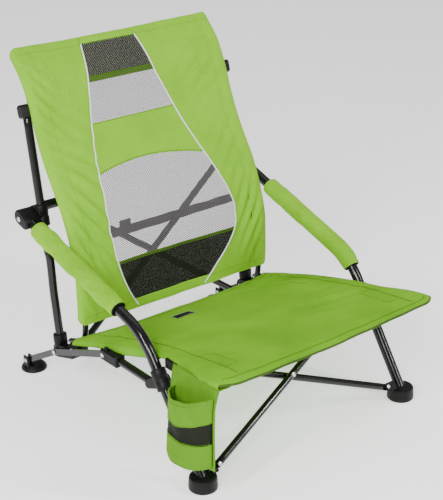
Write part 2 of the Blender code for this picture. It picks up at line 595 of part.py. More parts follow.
# seat: a slung panel that rests on the two seat rods
bm = bmesh.new()
rows, cols = 12, 6
bmesh.ops.create_grid(bm, x_segments=cols, y_segments=rows, size=0.5)
SEAT_BACK_Y, SEAT_TIP_Y = 0.4400, -0.0640
for v in bm.verts:
    u, w = v.co.x * 2.0, v.co.y + 0.5
    y = SEAT_BACK_Y + (SEAT_TIP_Y - SEAT_BACK_Y) * w
    half = seat_x(y) + 0.0082
    z = seat_at(y) + SEAT_R + 0.0036 - 0.0100 * (1 - u * u) * math.sin(math.pi * min(1.0, w * 1.1 + 0.05))
    z = max(z, seat_at(y) + SEAT_R + 0.0036) if abs(u) > 0.90 else z
    v.co = Vector((u * half, y, z))
seat_fabric = as_object("seat_fabric", bm, "fabric_green")
solid = seat_fabric.modifiers.new("thickness", "SOLIDIFY")
solid.thickness = 0.0050
solid.offset = 0.0
for s in (-1.0, 1.0):      # room for the back rods
    cut_box(seat_fabric, (min(s * 0.2280, s * 0.2448), 0.4120, 0.10),
            (max(s * 0.2280, s * 0.2448), 0.4600, 0.20))
hold(seat_fabric, AXES["seat_left"])

# back: a panel in front of the two back rods
bm = bmesh.new()
rows, cols = 20, 4
bmesh.ops.create_grid(bm, x_segments=cols, y_segments=rows, size=0.5)
BACK_FIT = smooth_line([(0, 0.4258, 0.1600)] + [(0, y, z) for y, z in BACK_LINE[3:]] + [(0, 0.6340, 0.7080)], 4)


def back_point(w):
    f = w * (len(BACK_FIT) - 1)
    i = min(int(f), len(BACK_FIT) - 2)
    p = BACK_FIT[i].lerp(BACK_FIT[i + 1], f - i)
    d = (BACK_FIT[i + 1] - BACK_FIT[i]).normalized()
    return p, Vector((0, -d.z, d.y))


for v in bm.verts:
    u, w = v.co.x * 2.0, v.co.y + 0.5
    p, n = back_point(w)
    p = p + n * (BACK_R + 0.0036)
    v.co = Vector((u * BACK_HALF, p.y, p.z))
back_fabric = as_object("back_fabric", bm, "fabric_green")
solid = back_fabric.modifiers.new("thickness", "SOLIDIFY")
solid.thickness = 0.0050
solid.offset = 0.0
hold(back_fabric)

# lumbar strap between the two back rods, behind the mesh, with its buckle
strap = box("lumbar_strap", (-0.2290, 0.4560, 0.3290), (0.2290, 0.4580, 0.3490), "webbing_black")
hold(strap)
buckle = box("strap_buckle", (-0.1160, 0.4590, 0.3255), (-0.0880, 0.4640, 0.3585),
             "plastic_black", bevel=0.0015)
hold(buckle)

# blank label sewn at the seat's rear edge
label_y = 0.4180
label = box("seat_label", (-LABEL_SIZE[0] / 2, label_y - LABEL_SIZE[1] / 2, 0.0),
            (LABEL_SIZE[0] / 2, label_y + LABEL_SIZE[1] / 2, LABEL_SIZE[2]), "label_black",
            turn=math.radians(-20.0))
label.location = (0.016, 0.0, seat_at(label_y) + 0.0122)
hold(label, AXES["seat_left"])

# cup pocket on the left: a flat back panel and a D-shaped cup, open at the top
panel = box("cup_pocket", (POCKET_X - 0.0012, -0.0600, 0.0720), (POCKET_X + 0.0012, 0.0560, 0.2380),
            "fabric_green")
bm = bmesh.new()
bmesh.ops.create_cone(bm, cap_ends=True, segments=28, radius1=0.052, radius2=0.056, depth=0.150)
for v in bm.verts:
    v.co = Vector((min(0.0, v.co.x * 0.66), v.co.y, v.co.z))
bmesh.ops.remove_doubles(bm, verts=bm.verts, dist=1e-5)
bmesh.ops.translate(bm, verts=bm.verts, vec=(POCKET_X - 0.0006, -0.0015, 0.1490))
outer = as_object("pocket_outer", bm, cutter=True)
bm = bmesh.new()
bmesh.ops.create_cone(bm, cap_ends=True, segments=28, radius1=0.0495, radius2=0.0535, depth=0.170)
for v in bm.verts:
    v.co = Vector((min(-0.0012, v.co.x * 0.66), v.co.y, v.co.z))
bmesh.ops.remove_doubles(bm, verts=bm.verts, dist=1e-5)
bmesh.ops.translate(bm, verts=bm.verts, vec=(POCKET_X - 0.0006, -0.0015, 0.1615))
inner = as_object("pocket_inner", bm, cutter=True)
boolean(panel, outer, "UNION")
boolean(panel, inner, "DIFFERENCE")
hold(panel, AXES["seat_left"])

bpy.context.view_layer.update()
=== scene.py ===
import math

import bmesh
import bpy
from mathutils import Matrix, Vector, noise


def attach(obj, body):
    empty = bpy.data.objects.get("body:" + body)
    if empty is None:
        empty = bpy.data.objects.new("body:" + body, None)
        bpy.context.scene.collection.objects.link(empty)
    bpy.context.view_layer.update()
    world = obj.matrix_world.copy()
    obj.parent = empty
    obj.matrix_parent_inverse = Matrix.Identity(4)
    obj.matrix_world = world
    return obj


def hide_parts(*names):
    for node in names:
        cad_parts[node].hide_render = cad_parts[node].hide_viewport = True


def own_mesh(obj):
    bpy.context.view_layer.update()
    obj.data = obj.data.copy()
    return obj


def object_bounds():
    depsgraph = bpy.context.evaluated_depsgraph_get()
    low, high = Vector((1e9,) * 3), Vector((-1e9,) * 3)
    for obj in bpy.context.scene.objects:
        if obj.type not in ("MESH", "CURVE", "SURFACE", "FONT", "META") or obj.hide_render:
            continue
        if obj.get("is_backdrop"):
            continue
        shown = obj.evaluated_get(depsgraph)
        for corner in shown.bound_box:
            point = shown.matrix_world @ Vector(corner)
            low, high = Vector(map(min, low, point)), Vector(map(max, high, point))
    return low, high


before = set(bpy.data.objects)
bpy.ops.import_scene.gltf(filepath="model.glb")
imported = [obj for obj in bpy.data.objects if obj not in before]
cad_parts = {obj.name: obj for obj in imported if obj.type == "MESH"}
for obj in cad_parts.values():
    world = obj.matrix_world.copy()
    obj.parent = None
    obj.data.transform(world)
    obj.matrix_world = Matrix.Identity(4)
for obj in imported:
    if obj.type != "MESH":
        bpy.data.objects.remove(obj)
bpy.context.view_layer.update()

# ------------------------------------------------------------------ chair lines, as in the CAD
OX, OY = 0.0089, -0.28715


def W(x, y, z):
    return Vector((x + OX, y + OY, z))


ARM_X0, ARM_X1, PIVOT_Y, PIVOT_Z = 0.268, 0.286, 0.553, 0.3835
BEND_Y, BEND_Z, BEND_R, ARM_SLOPE, LEG_SLOPE = 0.170, 0.262, 0.140, 0.3175, 1.43
ARM_END_Y = 0.5655
ARM_END_Z = BEND_Z + ARM_SLOPE * (ARM_END_Y - BEND_Y)
LEG_Z = 0.0088
LEG_Y = BEND_Y - (BEND_Z - LEG_Z) / LEG_SLOPE
BACK_X, POST_X = 0.2365, 0.2565
SEAT_LINE = [(0.4575, 0.1243), (0.4500, 0.1270), (0.400, 0.145), (0.300, 0.178), (0.200, 0.206),
             (0.100, 0.2275), (0.000, 0.2420), (-0.062, 0.2480)]
BACK_LINE = [(0.4390, 0.1020), (0.4350, 0.122), (0.427, 0.150), (0.423, 0.200), (0.4235, 0.250),
             (0.427, 0.300), (0.444, 0.360), (0.4669, 0.4128), (0.5000, 0.4665),
             (0.5250, 0.5114), (0.5460, 0.5594), (0.5640, 0.6083), (0.5900, 0.660)]
POST_LINE = [(0.4913, 0.104), (0.4988, 0.1456), (0.5056, 0.192), (0.5100, 0.223),
             (0.5145, 0.280), (0.5190, 0.305), (0.5275, 0.335), (0.5735, 0.604)]


def spline(points, per_span=6):
    pts = [Vector(p) for p in points]
    pts = [2 * pts[0] - pts[1]] + pts + [2 * pts[-1] - pts[-2]]
    out = []
    for i in range(1, len(pts) - 2):
        a, b, c, d = pts[i - 1:i + 3]
        for k in range(per_span):
            t = k / per_span
            out.append(0.5 * ((2 * b) + (c - a) * t + (2 * a - 5 * b + 4 * c - d) * t * t
                              + (3 * b - a - 3 * c + d) * t ** 3))
    return out + [pts[-2]]


def arm_x(y):
    return ARM_X0 + (ARM_X1 - ARM_X0) * y / PIVOT_Y


def arm_line(side, steps=26):
    a, c, b = (Vector((0, ARM_END_Y, ARM_END_Z)), Vector((0, BEND_Y, BEND_Z)),
               Vector((0, LEG_Y, LEG_Z)))
    u, v = (a - c).normalized(), (b - c).normalized()
    half = u.angle(v) / 2
    s, e = c + u * BEND_R / math.tan(half), c + v * BEND_R / math.tan(half)
    o = c + (u + v).normalized() * BEND_R / math.sin(half)
    full = (s - o).angle(e - o)
    pts = [a.lerp(s, i / 30) for i in range(30)]
    for i in range(steps + 1):
        w = i / steps
        pts.append(o + ((s - o) * math.sin((1 - w) * full) + (e - o) * math.sin(w * full))
                   / math.sin(full))
    pts += [e.lerp(b, i / 16) for i in range(1, 17)]
    return [W(side * arm_x(p.y), p.y, p.z) for p in pts]


SEAT_FINE = [(p.y, p.z) for p in spline([(0, y, z) for y, z in SEAT_LINE], 12)]


def seat_z(y):
    if y <= SEAT_FINE[-1][0]:
        return SEAT_FINE[-1][1] + (SEAT_FINE[-1][0] - y) * 0.09
    for (y1, z1), (y0, z0) in zip(SEAT_FINE, SEAT_FINE[1:]):
        if y0 <= y <= y1:
            return z0 + (z1 - z0) * (y - y0) / (y1 - y0)
    return SEAT_FINE[0][1]


def seat_x(y):
    t = min(1.0, max(0.0, (0.356 - y) / 0.022))
    return 0.2532 + (0.2458 - 0.2532) * t


# ------------------------------------------------------------------ mesh helpers
def put(name, bm, mat, body, smooth=True):
    me = bpy.data.meshes.new(name)
    bm.to_mesh(me)
    bm.free()
    if smooth:
        for p in me.polygons:
            p.use_smooth = True
    ob = bpy.data.objects.new(name, me)
    bpy.context.scene.collection.objects.link(ob)
    me.materials.append(mat)
    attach(ob, body)
    return ob


def grid_mesh(rows, uvs=None, close_u=False, skip=None):
    """Quads between rows of points, with a UV map in metres."""
    bm = bmesh.new()
    uv_layer = bm.loops.layers.uv.new("UVMap")
    vs = [[bm.verts.new(p) for p in row] for row in rows]
    n = len(rows[0])
    for j in range(len(rows) - 1):
        for i in range(n if close_u else n - 1):
            if skip and skip(j, i):
                continue
            k = (i + 1) % n
            try:
                f = bm.faces.new((vs[j][i], vs[j][k], vs[j + 1][k], vs[j + 1][i]))
            except ValueError:
                continue
            if uvs:
                ki = i + 1
                for loop, (a, b) in zip(f.loops, ((j, i), (j, ki), (j + 1, ki), (j + 1, i))):
                    loop[uv_layer].uv = uvs(a, b)
    loose = [v for v in bm.verts if not v.link_faces]
    bmesh.ops.delete(bm, geom=loose, context="VERTS")
    return bm


def frames_along(points):
    """Tangent and two normals at each point, without twist."""
    out = []
    ref = None
    for i, p in enumerate(points):
        a = points[max(0, i - 1)]
        b = points[min(len(points) - 1, i + 1)]
        t = (b - a).normalized()
        if ref is None:
            ref = Vector((1, 0, 0)) if abs(t.x) < 0.9 else Vector((0, 0, 1))
        n = (ref - t * ref.dot(t)).normalized()
        ref = n
        out.append((t, n, t.cross(n)))
    return out


def tube(name, points, radius, mat, body, around=28, dome=0.0, flat=None):
    """A round bar with softly domed ends; radius may be a function of the run from 0 to 1."""
    fr = frames_along(points)
    total = [0.0]
    for a, b in zip(points, points[1:]):
        total.append(total[-1] + (b - a).length)
    get = radius if callable(radius) else (lambda s: radius)
    rows, runs = [], []
    ends = [(0, -1), (len(points) - 1, 1)]
    for i, (p, (t, n, m)) in enumerate(zip(points, fr)):
        r = get(total[i] / total[-1])
        ring = [p + (n * math.cos(q) + m * math.sin(q)) * r
                for q in (2 * math.pi * k / around for k in range(around))]
        rows.append(ring)
        runs.append(total[i])
    lift = dome or radius * 0.35 if not callable(radius) else 0.003
    for end, way in ends:
        t, n, m = fr[end]
        r = get(total[end] / total[-1])
        extra = []
        for q in (0.35, 0.65, 0.87, 0.97):
            h = math.sqrt(max(0.0, 1 - (1 - q) ** 2))
            rr = r * math.sqrt(max(0.0, 1 - q * q)) if q < 0.97 else r * 0.12
            extra.append([points[end] + t * way * lift * (q - 0.35)
                          + (n * math.cos(a) + m * math.sin(a)) * rr
                          for a in (2 * math.pi * k / around for k in range(around))])
            del h
        extra = extra[1:]
        if way < 0:
            rows = extra[::-1] + rows
            runs = [0.0] * len(extra) + runs
        else:
            rows = rows + extra
            runs = runs + [total[-1]] * len(extra)
    bm = grid_mesh(rows, lambda j, i: (i / around * 2 * math.pi * 0.01, runs[j]), close_u=True)
    bm.verts.ensure_lookup_table()
    for ring in (range(around), range(len(bm.verts) - around, len(bm.verts))):
        bm.faces.new([bm.verts[k] for k in ring])
    bmesh.ops.recalc_face_normals(bm, faces=bm.faces)
    return put(name, bm, mat, body)


def lathe(name, profile, at, axis, mat, body, around=56, squash_xy=None):
    """A turned piece from (radius, height) pairs."""
    turn = Vector((0, 0, 1)).rotation_difference(Vector(axis).normalized()).to_matrix()
    rows = []
    for r, h in profile:
        rows.append([Vector(at) + turn @ Vector((r * math.cos(q), r * math.sin(q), h))
                     for q in (2 * math.pi * k / around for k in range(around))])
    bm = grid_mesh(rows, lambda j, i: (i / around * 0.1, profile[j][1]), close_u=True)
    bmesh.ops.remove_doubles(bm, verts=bm.verts, dist=1e-6)
    bmesh.ops.recalc_face_normals(bm, faces=bm.faces)
    return put(name, bm, mat, body)


def soft_box(name, low, high, mat, body, radius=0.002, turn=0.0, about=None, cuts=2, slot=None):
    """A moulded block with rounded edges."""
    bm = bmesh.new()
    bmesh.ops.create_cube(bm, size=1.0)
    low, high = Vector(low), Vector(high)
    lo = Vector(map(min, low, high))
    hi = Vector(map(max, low, high))
    for v in bm.verts:
        v.co = Vector((v.co.x * (hi - lo).x, v.co.y * (hi - lo).y, v.co.z * (hi - lo).z)) + (lo + hi) / 2
    bmesh.ops.bevel(bm, geom=list(bm.edges), offset=radius, segments=4, profile=0.5,
                    affect="EDGES")
    if turn:
        bmesh.ops.rotate(bm, verts=bm.verts, cent=about or (lo + hi) / 2,
                         matrix=Matrix.Rotation(turn, 3, "X"))
    bmesh.ops.translate(bm, verts=bm.verts, vec=(OX, OY, 0))
    ob = put(name, bm, mat, body)
    ob.data.set_sharp_from_angle(angle=math.radians(40))
    return ob


def stitches(name, lines, mat, body, normal, dash=0.0030, gap=0.0014, r=0.00060):
    """Rows of sewn thread: short raised dashes along each line."""
    bm = bmesh.new()
    for line in lines:
        run, k = 0.0, 0
        seg = list(zip(line, line[1:]))
        total = sum((b - a).length for a, b in seg)
        if total <= 0:
            continue

        def at(s):
            for a, b in seg:
                d = (b - a).length
                if s <= d or (a, b) == seg[-1]:
                    return a.lerp(b, min(1.0, s / d if d else 0.0))
                s -= d
            return line[-1]
        while run + dash < total:
            a, b = at(run), at(run + dash)
            n = normal(a) if callable(normal) else normal
            t = (b - a).normalized()
            side = t.cross(n).normalized() * r
            up = n * r
            va = [bm.verts.new(a - side), bm.verts.new(a + up * 1.2), bm.verts.new(a + side)]
            vb = [bm.verts.new(b - side), bm.verts.new(b + up * 1.2), bm.verts.new(b + side)]
            bm.faces.new((va[0], va[1], vb[1], vb[0]))
            bm.faces.new((va[1], va[2], vb[2], vb[1]))
            bm.faces.new((va[0], vb[0], vb[2], va[2]))
            bm.faces.new(va[::-1])
            bm.faces.new(vb)
            run += dash + gap
            k += 1
    bmesh.ops.recalc_face_normals(bm, faces=bm.faces)
    return put(name, bm, mat, body)


def thicken(ob, t, offset=-1.0):
    mod = ob.modifiers.new("cloth thickness", "SOLIDIFY")
    mod.thickness = t
    mod.offset = offset
    return ob


# ------------------------------------------------------------------ materials
def new_mat(name, rough=0.5, metal=0.0):
    m = bpy.data.materials.new(name)
    m.use_nodes = True
    nt = m.node_tree
    b = nt.nodes["Principled BSDF"]
    b.inputs["Roughness"].default_value = rough
    b.inputs["Metallic"].default_value = metal
    return m, nt, b


def node(nt, kind, **values):
    n = nt.nodes.new(kind)
    for k, v in values.items():
        if k in n.inputs:
            n.inputs[k].default_value = v
        else:
            setattr(n, k, v)
    return n


def maths(nt, op, a, b=None, clamp=False):
    n = nt.nodes.new("ShaderNodeMath")
    n.operation = op
    n.use_clamp = clamp
    for i, v in enumerate((a, b)):
        if v is None:
            continue
        if isinstance(v, (int, float)):
            n.inputs[i].default_value = v
        else:
            nt.links.new(v, n.inputs[i])
    return n.outputs[0]


def ramp(nt, fac, stops):
    n = nt.nodes.new("ShaderNodeValToRGB")
    els = n.color_ramp.elements
    while len(els) > 1:
        els.remove(els[-1])
    els[0].position, els[0].color = stops[0][0], (*stops[0][1], 1)
    for p, c in stops[1:]:
        e = els.new(p)
        e.color = (*c, 1)
    nt.links.new(fac, n.inputs[0])
    return n.outputs[0]


def mixed(nt, fac, a, b, blend="MIX"):
    n = nt.nodes.new("ShaderNodeMix")
    n.data_type = "RGBA"
    n.blend_type = blend
    for sock, v in ((n.inputs[0], fac), (n.inputs[6], a), (n.inputs[7], b)):
        if isinstance(v, (int, float)):
            sock.default_value = v
        elif isinstance(v, tuple):
            sock.default_value = (*v, 1)
        else:
            nt.links.new(v, sock)
    return n.outputs[2]


def weave_height(nt, pitch, uv):
    """Plain weave: two sets of threads passing over and under each other."""
    sep = nt.nodes.new("ShaderNodeSeparateXYZ")
    nt.links.new(uv, sep.inputs[0])
    k = math.pi / pitch
    cx = maths(nt, "COSINE", maths(nt, "MULTIPLY", sep.outputs[0], k))
    cy = maths(nt, "COSINE", maths(nt, "MULTIPLY", sep.outputs[1], k))
    sx = maths(nt, "ABSOLUTE", cx)
    sy = maths(nt, "ABSOLUTE", cy)
    sign = maths(nt, "MULTIPLY", cx, cy)
    pick = maths(nt, "GREATER_THAN", sign, 0.0)
    a = maths(nt, "MULTIPLY", sx, pick)
    b = maths(nt, "MULTIPLY", sy, maths(nt, "SUBTRACT", 1.0, pick))
    return maths(nt, "ADD", a, b)


def cloth_mat(name, light, dark, pitch=0.0009, rough=0.82, sheen=0.25, bump=0.35, wrinkle=0.60):
    """Woven polyester: thread weave, slubs, faint creases and patchy tone."""
    m, nt, b = new_mat(name, rough)
    tc = nt.nodes.new("ShaderNodeTexCoord")
    weave = weave_height(nt, pitch, tc.outputs["UV"])
    slub = node(nt, "ShaderNodeTexNoise", Scale=260.0, Detail=3.0, Roughness=0.6)
    nt.links.new(tc.outputs["Object"], slub.inputs["Vector"])
    cloud = node(nt, "ShaderNodeTexNoise", Scale=9.0, Detail=4.0, Roughness=0.55)
    nt.links.new(tc.outputs["Object"], cloud.inputs["Vector"])
    tone = ramp(nt, cloud.outputs[0], [(0.30, dark), (0.70, light)])
    thread = ramp(nt, weave, [(0.0, (0.80, 0.80, 0.80)), (1.0, (1.06, 1.06, 1.06))])
    col = mixed(nt, 1.0, tone, thread, "MULTIPLY")
    speck = ramp(nt, slub.outputs[0], [(0.35, (0.93, 0.93, 0.93)), (0.65, (1.04, 1.04, 1.04))])
    col = mixed(nt, 1.0, col, speck, "MULTIPLY")
    nt.links.new(col, b.inputs["Base Color"])
    crease = node(nt, "ShaderNodeTexNoise", Scale=34.0, Detail=5.0, Roughness=0.62, Distortion=0.6)
    nt.links.new(tc.outputs["Object"], crease.inputs["Vector"])
    h = maths(nt, "ADD", maths(nt, "MULTIPLY", weave, 0.00018 * bump / 0.35),
              maths(nt, "MULTIPLY", crease.outputs[0], 0.0028 * wrinkle))
    bp = node(nt, "ShaderNodeBump", Strength=1.0, Distance=1.0)
    nt.links.new(h, bp.inputs["Height"])
    nt.links.new(bp.outputs[0], b.inputs["Normal"])
    b.inputs["Sheen Weight"].default_value = sheen
    b.inputs["Sheen Roughness"].default_value = 0.45
    b.inputs["Sheen Tint"].default_value = (min(1.0, light[0] * 3), min(1.0, light[1] * 2),
                                            min(1.0, light[2] * 3), 1)
    b.inputs["Specular IOR Level"].default_value = 0.10
    return m


def mesh_mat(name, thread, dim, px, py, opening, rough=0.6):
    """Open warp-knit mesh: rows of small staggered holes, really see-through."""
    m, nt, b = new_mat(name, rough)
    tc = nt.nodes.new("ShaderNodeTexCoord")
    sep = nt.nodes.new("ShaderNodeSeparateXYZ")
    nt.links.new(tc.outputs["UV"], sep.inputs[0])
    cx = maths(nt, "COSINE", maths(nt, "MULTIPLY", sep.outputs[0], math.pi / px))
    cy = maths(nt, "COSINE", maths(nt, "MULTIPLY", sep.outputs[1], math.pi / py))
    f = maths(nt, "MULTIPLY", cx, cy)
    mr = nt.nodes.new("ShaderNodeMapRange")
    mr.interpolation_type = "SMOOTHSTEP"
    nt.links.new(f, mr.inputs["Value"])
    mr.inputs["From Min"].default_value = opening - 0.05
    mr.inputs["From Max"].default_value = opening + 0.05
    mr.inputs["To Min"].default_value = 1.0
    mr.inputs["To Max"].default_value = 0.0
    nt.links.new(mr.outputs[0], b.inputs["Alpha"])
    ground = maths(nt, "ADD", maths(nt, "MULTIPLY", f, 0.5), 0.5)
    edge = ramp(nt, ground, [(0.10, thread), (0.5 + opening / 2, dim)])
    n = node(nt, "ShaderNodeTexNoise", Scale=14.0, Detail=3.0)
    nt.links.new(tc.outputs["Object"], n.inputs["Vector"])
    tint = ramp(nt, n.outputs[0], [(0.3, (0.90, 0.90, 0.90)), (0.7, (1.08, 1.08, 1.08))])
    nt.links.new(mixed(nt, 1.0, edge, tint, "MULTIPLY"), b.inputs["Base Color"])
    bp = node(nt, "ShaderNodeBump", Strength=0.8, Distance=1.0)
    nt.links.new(maths(nt, "MULTIPLY", f, -0.0008), bp.inputs["Height"])
    nt.links.new(bp.outputs[0], b.inputs["Normal"])
    b.inputs["Specular IOR Level"].default_value = 0.15
    return m


def coated_mat():
    """Gloss black powder coat with orange peel and rubbed spots."""
    m, nt, b = new_mat("powder_coated_steel", 0.26)
    tc = nt.nodes.new("ShaderNodeTexCoord")
    peel = node(nt, "ShaderNodeTexNoise", Scale=420.0, Detail=2.0)
    wear = node(nt, "ShaderNodeTexNoise", Scale=38.0, Detail=6.0, Roughness=0.7)
    for n in (peel, wear):
        nt.links.new(tc.outputs["Object"], n.inputs["Vector"])
    nt.links.new(ramp(nt, wear.outputs[0], [(0.35, (0.0022, 0.0022, 0.0024)),
                                            (0.75, (0.0055, 0.0055, 0.006))]), b.inputs["Base Color"])
    rr = nt.nodes.new("ShaderNodeMapRange")
    nt.links.new(wear.outputs[0], rr.inputs["Value"])
    rr.inputs["To Min"].default_value = 0.13
    rr.inputs["To Max"].default_value = 0.27
    nt.links.new(rr.outputs[0], b.inputs["Roughness"])
    bp = node(nt, "ShaderNodeBump", Strength=0.08, Distance=0.0004)
    nt.links.new(peel.outputs[0], bp.inputs["Height"])
    nt.links.new(bp.outputs[0], b.inputs["Normal"])
    b.inputs["Specular IOR Level"].default_value = 0.22
    b.inputs["Coat Weight"].default_value = 0.30
    b.inputs["Coat Roughness"].default_value = 0.10
    return m


def plastic_mat():
    """Moulded black nylon: fine spark texture, scuffed high spots."""
    m, nt, b = new_mat("moulded_black_nylon", 0.45)
    tc = nt.nodes.new("ShaderNodeTexCoord")
    spark = node(nt, "ShaderNodeTexNoise", Scale=900.0, Detail=2.0)
    scuff = node(nt, "ShaderNodeTexNoise", Scale=70.0, Detail=6.0, Roughness=0.7)
    for n in (spark, scuff):
        nt.links.new(tc.outputs["Object"], n.inputs["Vector"])
    nt.links.new(ramp(nt, scuff.outputs[0], [(0.4, (0.0035, 0.0035, 0.0038)),
                                             (0.75, (0.010, 0.010, 0.010))]), b.inputs["Base Color"])
    rr = nt.nodes.new("ShaderNodeMapRange")
    nt.links.new(scuff.outputs[0], rr.inputs["Value"])
    rr.inputs["To Min"].default_value = 0.34
    rr.inputs["To Max"].default_value = 0.56
    nt.links.new(rr.outputs[0], b.inputs["Roughness"])
    b.inputs["Specular IOR Level"].default_value = 0.16
    bp = node(nt, "ShaderNodeBump", Strength=0.35, Distance=0.0005)
    nt.links.new(spark.outputs[0], bp.inputs["Height"])
    nt.links.new(bp.outputs[0], b.inputs["Normal"])
    return m


def steel_mat():
    m, nt, b = new_mat("zinc_plated_rivet", 0.28, 1.0)
    tc = nt.nodes.new("ShaderNodeTexCoord")
    n = node(nt, "ShaderNodeTexNoise", Scale=300.0, Detail=4.0)
    nt.links.new(tc.outputs["Object"], n.inputs["Vector"])
    nt.links.new(ramp(nt, n.outputs[0], [(0.3, (0.52, 0.52, 0.54)), (0.7, (0.74, 0.74, 0.76))]),
                 b.inputs["Base Color"])
    rr = nt.nodes.new("ShaderNodeMapRange")
    nt.links.new(n.outputs[0], rr.inputs["Value"])
    rr.inputs["To Min"].default_value = 0.20
    rr.inputs["To Max"].default_value = 0.40
    nt.links.new(rr.outputs[0], b.inputs["Roughness"])
    return m


GREEN = cloth_mat("lime_green_polyester", (0.225, 0.520, 0.017), (0.180, 0.440, 0.013))
# painted shade: the seat uses the back's green cloth darkened, standing in for the lesser light that falls
# on the seat
GREEN_SEAT_PAINTED_SHADE = cloth_mat("seat_green_polyester_painted_shade", (0.160, 0.430, 0.012), (0.098, 0.300, 0.008))
# painted shade: the pocket uses the same green cloth darkened to about half, standing in for the shade it
# hangs in under the arm sleeve
GREEN_POCKET_PAINTED_SHADE = cloth_mat("pocket_green_polyester_painted_shade", (0.108, 0.285, 0.012), (0.078, 0.215, 0.009))
GREEN_IN = cloth_mat("lime_green_lining", (0.150, 0.340, 0.012), (0.120, 0.280, 0.010))
GREEN_SEAM = cloth_mat("green_seam_tape", (0.060, 0.118, 0.016), (0.042, 0.085, 0.012),
                       pitch=0.0012)
THREAD = cloth_mat("green_sewing_thread", (0.085, 0.215, 0.010), (0.065, 0.170, 0.008), bump=0.1,
                   wrinkle=0.0)
PIPING = cloth_mat("white_piping", (0.86, 0.87, 0.84), (0.78, 0.80, 0.76), pitch=0.0008, sheen=0.1,
                   wrinkle=0.1)
FOAM = cloth_mat("black_foam_end", (0.012, 0.012, 0.012), (0.006, 0.006, 0.006), rough=0.95,
                 sheen=0.05)
BLACK_WEB = cloth_mat("black_webbing", (0.0075, 0.0075, 0.008), (0.0045, 0.0045, 0.005), pitch=0.0016,
                      rough=0.80, sheen=0.02, bump=0.8)
LIGHT_MESH = mesh_mat("grey_open_mesh", (0.185, 0.165, 0.185), (0.085, 0.075, 0.085), 0.0027, 0.0022, 0.10)
DARK_MESH_TOP = mesh_mat("olive_mesh_upper", (0.038, 0.041, 0.023), (0.012, 0.013, 0.007), 0.0027,
                         0.0022, 0.90)
DARK_MESH_LOW = mesh_mat("olive_mesh_lower", (0.0105, 0.014, 0.0052), (0.0022, 0.003, 0.0012), 0.0027,
                         0.0022, 0.975)
TUBE = coated_mat()
PLASTIC = plastic_mat()
STEEL = steel_mat()

# ------------------------------------------------------------------ CAD nodes that stay
for name, ob in [(n, bpy.data.objects.get(n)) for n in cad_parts]:
    if ob is None:
        continue
    if "rivet" in name or "_pin_" in name:
        mat = STEEL
    elif name in ("lumbar_strap", "seat_label"):
        mat = BLACK_WEB
    elif any(k in name for k in ("fabric", "pad_", "pocket")):
        mat = GREEN
    elif any(k in name for k in ("foot", "bracket", "joint", "cap", "slider", "buckle")):
        mat = PLASTIC
    else:
        mat = TUBE
    ob.data.materials.clear()
    ob.data.materials.append(mat)

# ------------------------------------------------------------------ smooth tubes
ROD_R = 0.0075
STEP = ROD_R + 0.0007
FT = math.radians(59.0)
F_UP = Vector((0, math.cos(FT), math.sin(FT)))
F_OUT = Vector((0, -math.sin(FT), math.cos(FT)))
RT = math.atan2(0.269, 0.046)
R_UP = Vector((0, math.cos(RT), math.sin(RT)))
R_OUT = Vector((0, -math.sin(RT), math.cos(RT)))
R_RISE = (0.405 - 0.085) / math.sin(RT)

for word, s in (("left", -1.0), ("right", 1.0)):
    arm = tube("arm_leg_tube_" + word, arm_line(s), 0.0110, TUBE, "arm_" + word)
    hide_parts("arm_leg_" + word)
    post = tube("post_tube_" + word, spline([W(s * POST_X, y, z) for y, z in POST_LINE], 8), 0.0090,
                TUBE, "upright_" + word)
    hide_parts("rear_post_" + word)
    back = tube("back_rod_tube_" + word, spline([W(s * BACK_X, y, z) for y, z in BACK_LINE], 8),
                0.0065, TUBE, "upright_" + word)
    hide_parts("back_rod_" + word)
    rod = tube("seat_rod_tube_" + word, [W(s * seat_x(y), y, z) for y, z in SEAT_FINE if y > -0.054],
               0.0070,
               TUBE, "seat_" + word)
    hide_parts("seat_rod_" + word)
    link = tube("side_link_tube_" + word,
                [W(s * 0.267, 0.1465, 0.161).lerp(W(s * 0.267, 0.276, 0.163), i / 8)
                 for i in range(9)], 0.0085, TUBE, "side_link_" + word)
    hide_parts("front_link_" + word)
    low = Vector((s * 0.2320, 0.004, 0.035)) + F_OUT * (-s * STEP)
    far = low + Vector((-s * 0.4495, 0, 0)) + F_UP * 0.196
    aim = (far - low).normalized()
    a, b = W(*(low - aim * 0.0035)), W(*far)
    rod = tube("front_rod_tube_" + word, [a.lerp(b, i / 24) for i in range(25)], ROD_R, TUBE,
               "front_rod_" + word)
    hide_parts("front_cross_rod_" + word)
    low = Vector((s * 0.2200, 0.474, 0.085)) + R_OUT * (s * STEP)
    far = Vector((-s * 0.2200, low.y, low.z)) + R_UP * R_RISE
    aim = (far - low).normalized()
    a, b = W(*(low - aim * 0.0035)), W(*(far + aim * 0.0055))
    rod = tube("rear_rod_tube_" + word, [a.lerp(b, i / 24) for i in range(25)], ROD_R, TUBE,
               "rear_rod_" + word)
    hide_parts("rear_cross_rod_" + word)

